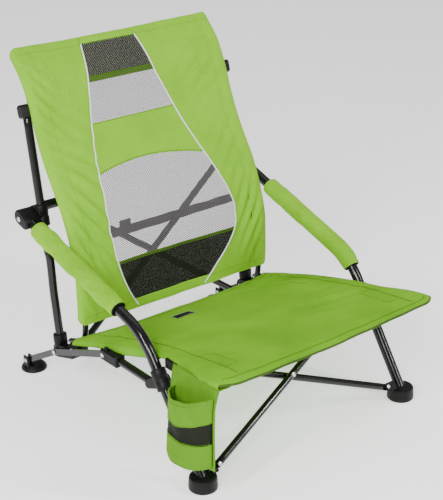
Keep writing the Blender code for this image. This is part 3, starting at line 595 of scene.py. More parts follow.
# ------------------------------------------------------------------ moulded housings
def capsule_plate(name, a, b, ra, rb, x0, x1, mat, body, side, round_r=0.0018):
    """A flat moulding in the side plane: a tapered, round-ended plate with softened rims."""
    ay, az = a
    by, bz = b
    d = Vector((by - ay, bz - az))
    base = math.atan2(d.y, d.x)
    tilt = math.asin(max(-1.0, min(1.0, (ra - rb) / max(1e-6, d.length))))
    outline = []
    n = 22
    for i in range(n + 1):
        q = base - math.pi / 2 + tilt + (math.pi - 2 * tilt) * i / n
        outline.append((by + rb * math.cos(q), bz + rb * math.sin(q), math.cos(q), math.sin(q)))
    for i in range(n + 1):
        q = base + math.pi / 2 - tilt + (math.pi + 2 * tilt) * i / n
        outline.append((ay + ra * math.cos(q), az + ra * math.sin(q), math.cos(q), math.sin(q)))
    rows = []
    steps = [(x0, round_r * 3.0), (x0, round_r)]
    for k in range(1, 5):
        q = math.pi / 2 * k / 4
        steps.append((x0 + round_r * (1 - math.cos(q)), round_r * (1 - math.sin(q))))
    tail = [(x1 - (x - x0), inset) for x, inset in steps[::-1]]
    for x, inset in steps + tail:
        rows.append([W(side * x, y - cy * inset, z - cz * inset) for y, z, cy, cz in outline])
    bm = grid_mesh(rows, lambda j, i: (i * 0.002, j * 0.002), close_u=True)
    bm.verts.ensure_lookup_table()
    n = len(outline)
    for ring in (range(n), range(len(bm.verts) - n, len(bm.verts))):
        bm.faces.new([bm.verts[k] for k in ring])
    bmesh.ops.remove_doubles(bm, verts=bm.verts, dist=1e-6)
    bmesh.ops.recalc_face_normals(bm, faces=bm.faces)
    ob = put(name, bm, mat, body)
    ob.data.set_sharp_from_angle(angle=math.radians(50))
    return ob


def collar(name, a, b, r, mat, body):
    """A moulded collar round a tube between two points, with rolled rims."""
    a, b = W(*a), W(*b)
    h = (b - a).length
    c = min(0.0022, h / 5)
    prof = [(r * 0.55, 0.0), (r - c, 0.0), (r - c * 0.3, c * 0.3), (r, c), (r, h * 0.40),
            (r - 0.0006, h * 0.42), (r - 0.0006, h * 0.58), (r, h * 0.60), (r, h - c),
            (r - c * 0.3, h - c * 0.3), (r - c, h), (r * 0.55, h)]
    ob = lathe(name, prof, a, b - a, mat, body, around=40)
    ob.data.set_sharp_from_angle(angle=math.radians(50))
    return ob


POST_FINE = [(p.y, p.z) for p in spline([(0, y, z) for y, z in POST_LINE], 8)]


def post_y(z):
    for (y0, z0), (y1, z1) in zip(POST_FINE, POST_FINE[1:]):
        if z0 <= z <= z1:
            return y0 + (y1 - y0) * (z - z0) / (z1 - z0)
    return POST_FINE[-1][0]


for word, s in (("left", -1.0), ("right", 1.0)):
    body = "arm_slider_" + word
    owner = "slider_" + word
    pieces = [collar("slider_collar_" + word, (s * POST_X, post_y(0.3640), 0.3640),
                     (s * POST_X, post_y(0.4090), 0.4090), 0.0142, PLASTIC, owner),
              capsule_plate("slider_hood_" + word, (0.5560, 0.3860), (0.5365, 0.3782), 0.0158,
                            0.0135, 0.2660, 0.3025, PLASTIC, owner, s, 0.0030),
              capsule_plate("slider_web_" + word, (0.5540, 0.3900), (0.5370, 0.3900), 0.0140,
                            0.0130, 0.2520, 0.2690, PLASTIC, owner, s, 0.0020),
              capsule_plate("slider_ear_" + word, (0.5480, 0.4000), (0.5405, 0.4060), 0.0100,
                            0.0080, 0.2120, 0.2560, PLASTIC, owner, s, 0.0015)]
    for ob in pieces:
        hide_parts(body)
    owner = "arm_" + word
    leg = Vector((0, 1.0, LEG_SLOPE)).normalized()
    mid = Vector((s * arm_x(0.117), 0.1165, 0.1855))
    a, b = mid - leg * 0.0230, mid + leg * 0.0200
    pieces = [collar("leg_collar_" + word, tuple(a), tuple(b), 0.0150, PLASTIC, owner)]
    for k, (x0, x1) in enumerate(((0.2540, 0.2575), (0.2768, 0.2803))):
        pieces.append(capsule_plate("leg_cheek_%d_%s" % (k, word), (0.1200, 0.1780),
                                    (0.1500, 0.1615), 0.0125, 0.0085, x0, x1, PLASTIC, owner, s,
                                    0.0010))
    for ob in pieces:
        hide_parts("leg_bracket_" + word)
    owner = "upright_" + word
    pieces = [collar("joint_collar_" + word, (s * POST_X, post_y(0.1050) - 0.0010, 0.0800),
                     (s * POST_X, post_y(0.1290), 0.1290), 0.0148, PLASTIC, owner),
              capsule_plate("joint_body_" + word, (0.4925, 0.0930), (0.4400, 0.1040), 0.0155,
                            0.0110, 0.2400, 0.2680, PLASTIC, owner, s, 0.0022),
              collar("joint_socket_" + word, (s * BACK_X, 0.4390, 0.1000),
                     (s * BACK_X, 0.4352, 0.1200), 0.0100, PLASTIC, owner)]
    for ob in pieces:
        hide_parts("rear_joint_" + word)

# ------------------------------------------------------------------ back panel
PROFILE = spline([Vector((0, y, z)) for y, z in
                  [(0.4258, 0.1600)] + BACK_LINE[3:] + [(0.6340, 0.7080), (0.6480, 0.7260)]], 12)
RUN = [0.0]
for p0, p1 in zip(PROFILE, PROFILE[1:]):
    RUN.append(RUN[-1] + (p1 - p0).length)
HALF = 0.2535
BOTTOM, TOP = 0.016, 0.6035


def profile_at(a):
    a = max(0.0, min(RUN[-1] - 1e-6, a))
    lo, hi = 0, len(RUN) - 1
    while hi - lo > 1:
        mid = (lo + hi) // 2
        if RUN[mid] <= a:
            lo = mid
        else:
            hi = mid
    t = (a - RUN[lo]) / (RUN[hi] - RUN[lo])
    p = PROFILE[lo].lerp(PROFILE[hi], t)
    d0 = (PROFILE[min(lo + 1, len(PROFILE) - 1)] - PROFILE[lo]).normalized()
    d1 = (PROFILE[min(lo + 2, len(PROFILE) - 1)] - PROFILE[min(lo + 1, len(PROFILE) - 2)]).normalized()
    d = d0.lerp(d1, t).normalized()
    return p, Vector((0, -d.z, d.y))          # the normal points to the sitter


def bump_at(x, a):
    """Creases and slack of the sewn panel, metres along its normal."""
    u = x / HALF
    d = -0.0075 * (1 - u * u) * min(1.0, max(0.0, (a - BOTTOM) / 0.12)) ** 0.5
    d += 0.0028 * noise.noise(Vector((x * 11, a * 7, 1.3)))
    d += 0.0015 * noise.noise(Vector((x * 30, a * 18, 7.7)))
    for cx, ca, ang, amp, wl, rx, ra in ((-0.195, 0.205, 0.95, 0.0022, 0.030, 0.045, 0.085),
                                         (-0.185, 0.290, 0.70, 0.0014, 0.038, 0.040, 0.060),
                                         (-0.215, 0.120, 1.15, 0.0022, 0.022, 0.035, 0.060),
                                         (0.215, 0.150, -1.05, 0.0022, 0.024, 0.040, 0.075),
                                         (0.205, 0.300, -0.80, 0.0012, 0.030, 0.040, 0.080),
                                         (-0.225, 0.470, 0.75, 0.0014, 0.026, 0.030, 0.070),
                                         (-0.170, 0.370, 0.60, 0.0010, 0.034, 0.045, 0.080),
                                         (0.190, 0.480, -0.65, 0.0012, 0.032, 0.045, 0.070)):
        g = math.exp(-((x - cx) / rx) ** 2 - ((a - ca) / ra) ** 2)
        ph = ((x - cx) * math.sin(ang) + (a - ca) * math.cos(ang)) * 2 * math.pi / wl
        ph += 1.6 * noise.noise(Vector((x * 14, a * 14, 3.1)))
        d += 2.1 * amp * g * math.sin(ph)
    return d


def back_at(x, a, lift=0.0):
    p, n = profile_at(a)
    edge = max(0.0, (abs(x) - 0.236) / (HALF - 0.236))
    off = 0.0096 * math.sqrt(max(0.0, 1 - min(1.0, edge) ** 2)) + 0.0006
    fade = max(0.0, 1 - max(0.0, (abs(x) - 0.225)) / (HALF - 0.225))
    p = p + n * (off + bump_at(x, a) * fade + lift)
    return W(x, p.y, p.z)


def back_normal(p):
    best, at = 1e9, 0.0
    for i, q in enumerate(PROFILE):
        d = (q.y + OY - p.y) ** 2 + (q.z - p.z) ** 2
        if d < best:
            best, at = d, RUN[i]
    return profile_at(at)[1]


def line_through(points):
    fine = spline([Vector((a, x, 0)) for a, x in points], 10)

    def at(a):
        if a <= fine[0].x:
            return fine[0].y
        for p, q in zip(fine, fine[1:]):
            if p.x <= a <= q.x:
                return p.y + (q.y - p.y) * (a - p.x) / (q.x - p.x)
        return fine[-1].y
    return at


PIPE_L = line_through([(0.000, -0.094), (0.0376, -0.1175), (0.0700, -0.1340), (0.1050, -0.1470),
                       (0.1500, -0.1560), (0.2000, -0.1575), (0.2600, -0.1515), (0.3150, -0.1440),
                       (0.3700, -0.1335), (0.4215, -0.1225), (0.5030, -0.1060), (0.6200, -0.0800)])
PIPE_R = line_through([(0.000, 0.052), (0.0330, 0.0850), (0.0600, 0.1130), (0.0845, 0.1370),
                       (0.1230, 0.1620), (0.1600, 0.1700), (0.1990, 0.1650), (0.2476, 0.1480),
                       (0.3050, 0.1290), (0.3600, 0.1110), (0.4190, 0.0905), (0.5000, 0.0650),
                       (0.6200, 0.0460)])


def arch(c):
    x = c * 2 - 1
    return 0.3060 + 0.0205 * (1 - (x + 0.10) ** 2)


BANDS = [("back_hem_middle", lambda c: BOTTOM, lambda c: 0.0350, GREEN, 0.0012),
         ("back_mesh_bottom", lambda c: 0.0350, lambda c: 0.1190 + 0.004 * (1 - c), DARK_MESH_LOW, 0),
         ("back_seam_low", lambda c: 0.1190 + 0.004 * (1 - c), lambda c: 0.1255 + 0.004 * (1 - c),
          GREEN_SEAM, 0.0012),
         ("back_mesh_middle", lambda c: 0.1255 + 0.004 * (1 - c), arch, LIGHT_MESH, 0),
         ("back_band", arch, lambda c: 0.4195, GREEN, 0.0009),
         ("back_mesh_upper", lambda c: 0.4195, lambda c: 0.5030, LIGHT_MESH, 0),
         ("back_seam_high", lambda c: 0.5030, lambda c: 0.5155, GREEN_SEAM, 0.0012),
         ("back_mesh_top", lambda c: 0.5155, lambda c: 0.5880, DARK_MESH_TOP, 0),
         ("back_hem_top_middle", lambda c: 0.5880, lambda c: TOP, GREEN, 0.0012)]
BACK_PIECES = []
for name, lo_a, hi_a, mat, thick in BANDS:
    span = hi_a(0.5) - lo_a(0.5)
    rows_n, cols_n = max(2, int(span / 0.0045)), 64
    pts, uv = [], []
    for j in range(rows_n + 1):
        row, ruv = [], []
        for i in range(cols_n + 1):
            c = i / cols_n
            a = lo_a(c) + (hi_a(c) - lo_a(c)) * j / rows_n
            x = PIPE_L(a) + (PIPE_R(a) - PIPE_L(a)) * c
            row.append(back_at(x, a, -0.0002))
            ruv.append((x, a))
        pts.append(row)
        uv.append(ruv)
    bm = grid_mesh(pts, lambda j, i, uv=uv: uv[j][i])
    ob = put(name, bm, mat, "upright_left")
    if thick:
        thicken(ob, thick, 1.0)
    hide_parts("back_fabric")
    round(PIPE_R(lo_a(0.5)) - PIPE_L(lo_a(0.5)), 4)
    BACK_PIECES.append(ob)

CAP_RUN = None
for i, q in enumerate(PROFILE):
    if q.z >= 0.6025 and CAP_RUN is None:
        CAP_RUN = RUN[i]
for word, s, pipe in (("left", -1.0, PIPE_L), ("right", 1.0, PIPE_R)):
    rows, uv = [], []
    n_rows = 150
    for j in range(n_rows + 1):
        a = BOTTOM + (TOP - BOTTOM) * j / n_rows
        x0 = pipe(a)
        corner = max(0.0, (a - (TOP - 0.016)) / 0.016)
        low = max(0.0, ((BOTTOM + 0.014) - a) / 0.014)
        half = HALF - 0.007 * corner ** 2.2 - 0.006 * low ** 2
        row, ruv = [], []
        for i in range(41):
            c = i / 40
            x = x0 + (s * half - x0) * (1 - (1 - c) ** 1.25)
            row.append(back_at(x, a))
            ruv.append((x, a))
        # round the rod and back under the panel to the sleeve's seam
        p, n = profile_at(a)
        for k, (xx, off) in enumerate(((half - 0.0004, -0.0024), (half - 0.0030, -0.0058),
                                       (half - 0.0085, -0.0082), (0.2390, -0.0088),
                                       (0.2330, -0.0080), (0.2280, -0.0050), (0.2235, 0.0004),
                                       (0.2195, 0.0056), (0.2140, 0.0074))):
            off2 = off + 0.0006 * noise.noise(Vector((k * 0.7, a * 40, 5.0 * s)))
            q = p + n * off2
            row.append(W(s * xx, q.y, q.z))
            ruv.append((s * (HALF + 0.004 * (k + 1)), a))
        rows.append(row)
        uv.append(ruv)

    def near_cap(j, i):
        a = BOTTOM + (TOP - BOTTOM) * (j + 0.5) / n_rows
        return i >= 41 and abs(a - CAP_RUN) < 0.022
    bm = grid_mesh(rows, lambda j, i, uv=uv: uv[j][i], skip=near_cap)
    ob = put("back_side_" + word, bm, GREEN, "upright_left")
    thicken(ob, 0.0008, 1.0 if s > 0 else -1.0)
    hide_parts("back_fabric")
    BACK_PIECES.append(ob)
    # piping along the seam with the middle bands
    line = [back_at(pipe(a), a, 0.0008) for a in
            (BOTTOM + 0.004 + (TOP - BOTTOM - 0.020) * k / 120 for k in range(121))]
    ob = tube("back_piping_" + word, line, 0.00155, PIPING, "upright_left", around=12)
    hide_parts("back_fabric")
    BACK_PIECES.append(ob)

# lumbar webbing between the posts, behind the panel
rows, uv = [], []
for j in range(7):
    row, ruv = [], []
    for i in range(81):
        u = 2 * i / 80 - 1
        x = u * 0.2290
        z = 0.3290 + 0.0200 * j / 6 - 0.0016 * (1 - u * u) + 0.0005 * math.sin(u * 23)
        y = 0.4570 - 0.0006 * math.sin(math.pi * j / 6) + 0.0007 * math.sin(u * 17 + j * 0.3)
        row.append(W(x, y, z))
        ruv.append((x, z))
    rows.append(row)
    uv.append(ruv)
bm = grid_mesh(rows, lambda j, i, uv=uv: uv[j][i])
ob = put("lumbar_webbing", bm, BLACK_WEB, "upright_left")
thicken(ob, 0.0014, 0.0)
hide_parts("lumbar_strap")
BACK_PIECES.append(ob)

# hems along the top and the bottom edge, rolled
for name, a, r in (("back_hem_roll_top", TOP, 0.0022), ("back_hem_roll_bottom", BOTTOM, 0.0021)):
    line = [back_at(-0.2450 + 0.490 * k / 90, a, -0.0006) for k in range(91)]
    ob = tube(name, line, r, GREEN, "upright_left", around=14)
    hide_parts("back_fabric")
    BACK_PIECES.append(ob)

sew = []
for da in (0.0155, 0.0175):
    sew.append([back_at(-0.246 + 0.492 * k / 120, TOP - da, 0.0004) for k in range(121)])
    sew.append([back_at(-0.246 + 0.492 * k / 120, BOTTOM + da, 0.0004) for k in range(121)])
for s, pipe in ((-1.0, PIPE_L), (1.0, PIPE_R)):
    for inset in (0.2145, 0.2165):
        sew.append([back_at(s * inset, BOTTOM + 0.006 + (TOP - BOTTOM - 0.012) * k / 160, 0.0004)
                    for k in range(161)])
    sew.append([back_at(pipe(a) + s * 0.0045, a, 0.0004) for a in
                (BOTTOM + 0.004 + (TOP - BOTTOM - 0.012) * k / 160 for k in range(161))])
    # box stitching that holds the sleeve's reinforcement
    x0, x1, a0, a1 = s * 0.224, s * 0.180, 0.545, 0.470
    sew.append([back_at(x0 + (x1 - x0) * k / 12, a0, 0.0005) for k in range(13)])
    sew.append([back_at(x1, a0 + (a1 - a0) * k / 20, 0.0005) for k in range(21)])
    sew.append([back_at(x0 + (x1 - x0) * k / 12, a1, 0.0005) for k in range(13)])
for seam_a in (0.5045, 0.5140):
    sew.append([back_at(PIPE_L(seam_a) + (PIPE_R(seam_a) - PIPE_L(seam_a)) * k / 50, seam_a, 0.0012)
                for k in range(51)])
for off in (0.0012, 0.0052):
    sew.append([back_at(PIPE_L(0.12) + (PIPE_R(0.12) - PIPE_L(0.12)) * k / 60,
                        0.1190 + 0.004 * (1 - k / 60) + off, 0.0012) for k in range(61)])
sew.append([back_at(PIPE_L(0.42) + (PIPE_R(0.42) - PIPE_L(0.42)) * k / 50, 0.4180, 0.0011)
            for k in range(51)])
sew.append([back_at(PIPE_L(arch(k / 60)) + (PIPE_R(arch(k / 60)) - PIPE_L(arch(k / 60))) * k / 60,
                    arch(k / 60) + 0.0025, 0.0011) for k in range(61)])
ob = stitches("back_stitching", sew, THREAD, "upright_left", back_normal)
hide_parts("back_fabric")
BACK_PIECES.append(ob)
for ob in BACK_PIECES:
    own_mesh(ob)

# ------------------------------------------------------------------ seat panel
REAR_Y, FRONT_Y = 0.4010, -0.0790


def seat_half(y, side=1.0):
    """Outer edge of the seat's side sleeve: it passes inside the legs and flares in front of them."""
    base = 0.2606
    front = max(0.0, min(1.0, (0.085 - y) / 0.10))
    rear = max(0.0, min(1.0, (y - 0.215) / 0.08))
    flare = 0.0165 if side > 0 else 0.0150
    return base + flare * front * front * (3 - 2 * front) + 0.0040 * rear * rear * (3 - 2 * rear)


def seat_bump(x, y):
    u = x / 0.255
    w = (REAR_Y - y) / (REAR_Y - FRONT_Y)
    d = -0.0105 * (1 - u * u) * math.sin(math.pi * min(1.0, max(0.0, w * 0.86 + 0.10)))
    d += 0.0026 * noise.noise(Vector((x * 9, y * 9, 11.0)))
    d += 0.0011 * noise.noise(Vector((x * 26, y * 22, 4.0)))
    for cx, cy, ang, amp, wl, rx, ry in ((0.190, 0.330, 0.75, 0.0034, 0.034, 0.060, 0.060),
                                         (-0.200, 0.330, -0.75, 0.0020, 0.036, 0.050, 0.055),
                                         (0.150, 0.100, 0.35, 0.0020, 0.040, 0.080, 0.080),
                                         (-0.190, 0.020, 0.60, 0.0008, 0.044, 0.050, 0.060)):
        g = math.exp(-((x - cx) / rx) ** 2 - ((y - cy) / ry) ** 2)
        ph = ((x - cx) * math.sin(ang) + (y - cy) * math.cos(ang)) * 2 * math.pi / wl
        d += amp * g * math.sin(ph + 1.4 * noise.noise(Vector((x * 12, y * 12, 9.0))))
    return d


def seat_at(x, y, lift=0.0):
    r = seat_x(y)
    half = seat_half(y, x)
    edge = max(0.0, min(1.0, (abs(x) - r) / (half - r)))
    off = 0.0080 * math.sqrt(max(0.0, 1 - edge ** 2)) - 0.0015 * edge
    if x > 0:                       # the right side's front corner turns up a little
        off += 0.0060 * edge * max(0.0, min(1.0, (0.06 - y) / 0.10))
    fade = max(0.0, min(1.0, (r + 0.004 - abs(x)) / 0.030))
    fall = max(0.0, (-0.052 - y) / 0.031)          # slack cloth hangs over the front edge
    off -= 0.0095 * fall ** 1.5 * (1.0 if x < 0.0 else 1.0 - 0.85 * min(1.0, x / 0.22))
    return W(x, y, seat_z(y) + off + seat_bump(x, y) * fade + lift)


def seat_y(u, w):
    rear = REAR_Y + 0.0350 * abs(u) ** 8
    f = max(0.0, (abs(u) - 0.86) / 0.14)
    front = FRONT_Y + (0.024 if u > 0 else 0.019) * f ** 2.2
    return rear + (front - rear) * w


def seat_u(i, n):
    u = 2 * i / n - 1
    return math.copysign(1 - (1 - abs(u)) ** 1.35, u)


rows, uv = [], []
NW, NU = 120, 96
for j in range(NW + 1):
    w = j / NW
    row, ruv = [], []
    under_l, under_r = [], []
    for side, store in ((-1, under_l), (1, under_r)):
        y = seat_y(side, w)
        r, half = seat_x(y), seat_half(y, side)
        z = seat_z(y) - 0.0095 * max(0.0, (-0.052 - y) / 0.031) ** 1.5 * (1.0 if side < 0 else 0.15)
        z += 0.0060 * max(0.0, min(1.0, (0.06 - y) / 0.10)) * (side > 0) * 0.6
        for k, (xx, dz) in enumerate(((half - 0.0008, -0.0042), (half - 0.0040, -0.0072),
                                      (r + 0.0020, -0.0086), (r - 0.0040, -0.0080),
                                      (r - 0.0085, -0.0046), (r - 0.0115, 0.0002),
                                      (r - 0.0140, 0.0046), (r - 0.0200, 0.0050))):
            sag = seat_bump(side * xx, y) * max(0.0, min(1.0, (r + 0.004 - xx) / 0.030))
            if side < 0:            # on this side the sleeve hangs slack below the rod
                slack = max(0.0, min(1.0, (0.36 - y) / 0.10)) * (0.75 + 0.25 * math.sin(y * 31))
                dz -= slack * (0.0070, 0.0085, 0.0060, 0.0030, 0.0010, 0.0, 0.0, 0.0)[k]
                xx += slack * (0.0010, 0.0010, 0.0, 0.0, 0.0, 0.0, 0.0, 0.0)[k]
            dz += 0.0005 * noise.noise(Vector((k, y * 45, side * 3.0)))
            store.append((W(side * xx, y, z + dz + sag), (side * (half + 0.004 * (k + 1)), y)))
    for p, q in under_l[::-1]:
        row.append(p)
        ruv.append(q)
    for i in range(NU + 1):
        u = seat_u(i, NU)
        y = seat_y(u, w)
        x = u * seat_half(y, u)
        row.append(seat_at(x, y))
        ruv.append((x, y))
    for p, q in under_r:
        row.append(p)
        ruv.append(q)
    rows.append(row)
    uv.append(ruv)
NSIDE = 8


def sleeve_gap(j, i):
    """The sleeves are open where brackets grip the rods."""
    y = seat_y(1.0, (j + 0.5) / NW)
    under = i < NSIDE or i >= NSIDE + NU
    return under and (0.078 < y < 0.152)


bm = grid_mesh(rows, lambda j, i: uv[j][i], skip=sleeve_gap)
# the seat's green carries painted shade
seat = put("seat_panel", bm, GREEN_SEAT_PAINTED_SHADE, "seat_left")
thicken(seat, 0.0009, -1.0)
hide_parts("seat_fabric")
SEAT_PIECES = [seat]
for name, w, r in (("seat_hem_roll_front", 1.0, 0.0023), ("seat_hem_roll_rear", 0.0, 0.0020)):
    line = []
    for i in range(97):
        u = seat_u(i, 96) * 0.995
        y = seat_y(u, w)
        line.append(seat_at(u * seat_half(y, u), y, -0.0012))
    ob = tube(name, line, r, GREEN_SEAM, "seat_left", around=14)
    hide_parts("seat_fabric")
    SEAT_PIECES.append(ob)
sew = []
for w0 in (0.030, 0.034):
    for wv in (w0, 1 - w0):
        sew.append([seat_at(u * seat_half(seat_y(u, wv), u), seat_y(u, wv), 0.0010)
                    for u in (-0.95 + 1.9 * k / 110 for k in range(111))])
for s in (-1.0, 1.0):
    for inset in (0.0180, 0.0200):
        sew.append([seat_at(s * (seat_x(y) - inset), y, 0.0010) for y in
                    (0.385 - 0.440 * k / 120 for k in range(121))])
    for y0, y1 in ((0.060, -0.020), (0.300, 0.225)):
        xa, xb = s * 0.2240, s * 0.1960
        sew.append([seat_at(xa + (xb - xa) * k / 10, y0, 0.0010) for k in range(11)])
        sew.append([seat_at(xb, y0 + (y1 - y0) * k / 20, 0.0010) for k in range(21)])
        sew.append([seat_at(xa + (xb - xa) * k / 10, y1, 0.0010) for k in range(11)])
ob = stitches("seat_stitching", sew, THREAD, "seat_left", Vector((0, 0, 1)))
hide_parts("seat_fabric")
SEAT_PIECES.append(ob)
# sewn label, left blank, with a woven border
LX, LY, LW, LH = -0.0560, 0.3260, 0.0230, 0.0135
rows = []
for j in range(7):
    rows.append([seat_at(LX - LW + 2 * LW * i / 24, LY - LH + 2 * LH * j / 6,
                         0.0014 + 0.0004 * math.sin(math.pi * i / 24)) for i in range(25)])
bm = grid_mesh(rows, lambda j, i: (i * 0.002, j * 0.003))
label = put("seat_label_patch", bm, BLACK_WEB, "seat_left")
thicken(label, 0.0009, -1.0)
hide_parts("seat_label")
SEAT_PIECES.append(label)
edge = [rows[0][i] for i in range(25)] + [rows[j][24] for j in range(1, 7)] \
    + [rows[6][i] for i in range(23, -1, -1)] + [rows[j][0] for j in range(5, -1, -1)]
ob = stitches("seat_label_border", [[p + Vector((0, 0, 0.0004)) for p in edge]], STEEL,
              "seat_left", Vector((0, 0, 1)), dash=0.0012, gap=0.0014, r=0.00025)
ob.data.materials[0] = PIPING
SEAT_PIECES.append(ob)
for ob in SEAT_PIECES:
    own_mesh(ob)

# ------------------------------------------------------------------ padded arm sleeves
for word, s, start, length in (("left", -1.0, 0.0575, 0.2855), ("right", 1.0, 0.1310, 0.3000)):
    fine = []
    line = arm_line(s, 60)
    for a, b in zip(line, line[1:]):
        n = max(1, int((b - a).length / 0.0015))
        fine += [a.lerp(b, i / n) for i in range(n)]
    run, picked, last = 0.0, [], -1.0
    for a, b in zip(fine, fine[1:]):
        if start <= run <= start + length and run - last >= 0.0042:
            picked.append(a.copy())
            last = run
        run += (b - a).length
    fr = frames_along(picked)
    around = 44
    rows = []
    count = len(picked)
    for j, (p, (t, n, m)) in enumerate(zip(picked, fr)):
        e = min(j, count - 1 - j)
        base = 0.0176 + 0.0014 * min(1.0, e / 4.0)
        if e == 1:
            base += 0.0007          # rolled hem
        row = []
        for k in range(around):
            q = 2 * math.pi * k / around
            d = n * math.cos(q) + m * math.sin(q)
            r = base + 0.0006 * noise.noise(Vector((d.x * 2, d.z * 2, j * 0.16 + s)))
            r += 0.0006 * math.sin(q * 2 + 1.0 + j * 0.03)
            row.append(p + d * r)
        rows.append(row)
    uvf = lambda j, i: (i / around * 2 * math.pi * 0.019, j * 0.0042)
    bm = grid_mesh(rows, uvf, close_u=True)
    bmesh.ops.recalc_face_normals(bm, faces=bm.faces)
    sleeve = put("arm_sleeve_" + word, bm, GREEN, "arm_" + word)
    # fill the sleeve: the foam inside presses the cloth out between its two hems
    pin = sleeve.vertex_groups.new(name="hems")
    pin.add([j * around + k for j in (0, 1, count - 2, count - 1) for k in range(around)],
            1.0, "REPLACE")
    before = [v.co.copy() for v in sleeve.data.vertices]
    cloth = sleeve.modifiers.new("fill", "CLOTH")
    cs = cloth.settings
    cs.quality = 4
    cs.mass = 0.25
    cs.use_pressure = True
    cs.uniform_pressure_force = 3.0
    cs.vertex_group_mass = "hems"
    cs.effector_weights.gravity = 0.0
    cs.tension_stiffness = 18.0
    cs.compression_stiffness = 4.0
    cs.bending_stiffness = 0.4
    cs.shrink_min = -0.03
    cloth.point_cache.frame_start = 1
    cloth.point_cache.frame_end = 18
    scene = bpy.context.scene
    for f in range(1, 15):
        scene.frame_set(f)
    dg = bpy.context.evaluated_depsgraph_get()
    ev = sleeve.evaluated_get(dg)
    after = [v.co.copy() for v in ev.data.vertices]
    sleeve.modifiers.remove(cloth)
    scene.frame_set(1)
    for v, a, b in zip(sleeve.data.vertices, before, after):
        d = b - a
        if d.length > 0.0022:
            d = d.normalized() * 0.0022
        v.co = a + d
    # the foam inside holds the cloth out at least this far from the tube's middle line
    for j, (p, (t, n, m)) in enumerate(zip(picked, fr)):
        for k in range(around):
            v = sleeve.data.vertices[j * around + k]
            d = v.co - p
            along = t * d.dot(t)
            out = d - along
            if out.length < 0.0184 and 1 < j < count - 2:
                v.co = p + along + out.normalized() * (0.0184 + 0.12 * (out.length - 0.0184))
    thicken(sleeve, 0.0010, -1.0)
    sub = sleeve.modifiers.new("smooth", "SUBSURF")
    sub.levels = sub.render_levels = 1
    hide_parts("arm_pad_" + word)
    # foam core, seen at the two open ends
    core = picked
    rows = []
    for j, (p, (t, n, m)) in enumerate(zip(core, frames_along(core))):
        rows.append([p + (n * math.cos(q) + m * math.sin(q)) * 0.0156
                     for q in (2 * math.pi * k / 32 for k in range(32))])
    inner = [[p + (n * math.cos(q) + m * math.sin(q)) * 0.0114
              for q in (2 * math.pi * k / 32 for k in range(32))]
             for p, (t, n, m) in zip(core, frames_along(core))]
    ring = [inner[0]] + rows + inner[::-1]
    bm = grid_mesh(ring, lambda j, i: (i * 0.003, j * 0.004), close_u=True)
    bmesh.ops.remove_doubles(bm, verts=bm.verts, dist=1e-6)
    bmesh.ops.recalc_face_normals(bm, faces=bm.faces)
    foam = put("arm_foam_" + word, bm, FOAM, "arm_" + word)
    # seam under the sleeve with its stitching
    sew_line = []
    for p, (t, n, m) in zip(picked[1:-1], frames_along(picked)[1:-1]):
        down = (Vector((0, 0, -1)) + Vector((s * 0.35, 0, 0)))
        down = (down - t * down.dot(t)).normalized()
        sew_line.append(p + down * 0.0200)
    ob = stitches("arm_seam_" + word, [sew_line], THREAD, "arm_" + word, Vector((0, 0, -1)))

# ------------------------------------------------------------------ cup pocket
PX, PY = -0.2861, -0.0015


def rim_z(y):
    return min(0.2215, 0.2010 + (0.060 - y) * 0.19)


def pocket_at(q, z, lift=0.0):
    """q runs from 0 at the rear edge round the outside to 1 at the front edge."""
    t = max(0.0, min(1.0, (z - 0.076) / 0.146))
    ay = 0.0520 + 0.0045 * t
    depth = 0.0520 - 0.0175 * t - 0.0030 * math.sin(math.pi * t) - 0.0080 * max(0.0, 0.12 - t) / 0.12
    ang = math.pi * q
    y = PY + ay * math.cos(ang)
    x = PX - (depth + lift) * math.sin(ang) ** 0.85
    fold = 0.0016 * math.sin(ang * 7 + z * 60) * math.sin(ang) * (0.4 + 0.6 * t)
    return W(x - fold, y, z)


def pocket_band(name, z_low, z_high, mat, thick, rows_n):
    rows, uv = [], []
    for j in range(rows_n + 1):
        row, ruv = [], []
        for i in range(57):
            q = i / 56
            y = PY + 0.055 * math.cos(math.pi * q)
            top = rim_z(y) - 0.0085 * math.sin(math.pi * q) ** 2
            lo = z_low if isinstance(z_low, float) else top - z_low[0]
            hi = z_high if isinstance(z_high, float) else top - z_high[0]
            z = lo + (hi - lo) * j / rows_n
            row.append(pocket_at(q, z))
            ruv.append((q * 0.14, z))
        rows.append(row)
        uv.append(ruv)
    bm = grid_mesh(rows, lambda j, i: uv[j][i])
    ob = put(name, bm, mat, "seat_left")
    if thick:
        thicken(ob, thick, 1.0)
    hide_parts("cup_pocket")
    return ob


# the pocket's green pieces carry painted shade
pocket_band("pocket_band_low", 0.0790, 0.1290, GREEN_POCKET_PAINTED_SHADE, 0.0012, 14)
pocket_band("pocket_mesh", 0.1285, (0.0470,), DARK_MESH_LOW, 0, 12)
pocket_band("pocket_band_rim", (0.0475,), (0.0,), GREEN_POCKET_PAINTED_SHADE, 0.0012, 14)
line = []
for i in range(57):
    q = i / 56
    y = PY + 0.055 * math.cos(math.pi * q)
    line.append(pocket_at(q, rim_z(y) - 0.0085 * math.sin(math.pi * q) ** 2))
ob = tube("pocket_rim_roll", line, 0.0019, GREEN_POCKET_PAINTED_SHADE, "seat_left", around=12)
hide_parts("cup_pocket")
# bottom, slightly bellied
rows = []
for j in range(9):
    f = j / 8
    rows.append([pocket_at(q, 0.0795).lerp(W(PX, PY + 0.052 * math.cos(math.pi * q), 0.0795), f)
                 - Vector((0, 0, 0.0045 * math.sin(math.pi * min(1.0, f * 0.9 + 0.05))
                           * math.sin(math.pi * q) ** 0.5)) for q in (i / 40 for i in range(41))])
bm = grid_mesh(rows, lambda j, i: (i * 0.0035, j * 0.004))
ob = put("pocket_bottom", bm, GREEN_POCKET_PAINTED_SHADE, "seat_left")
thicken(ob, 0.0010, 1.0)
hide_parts("cup_pocket")
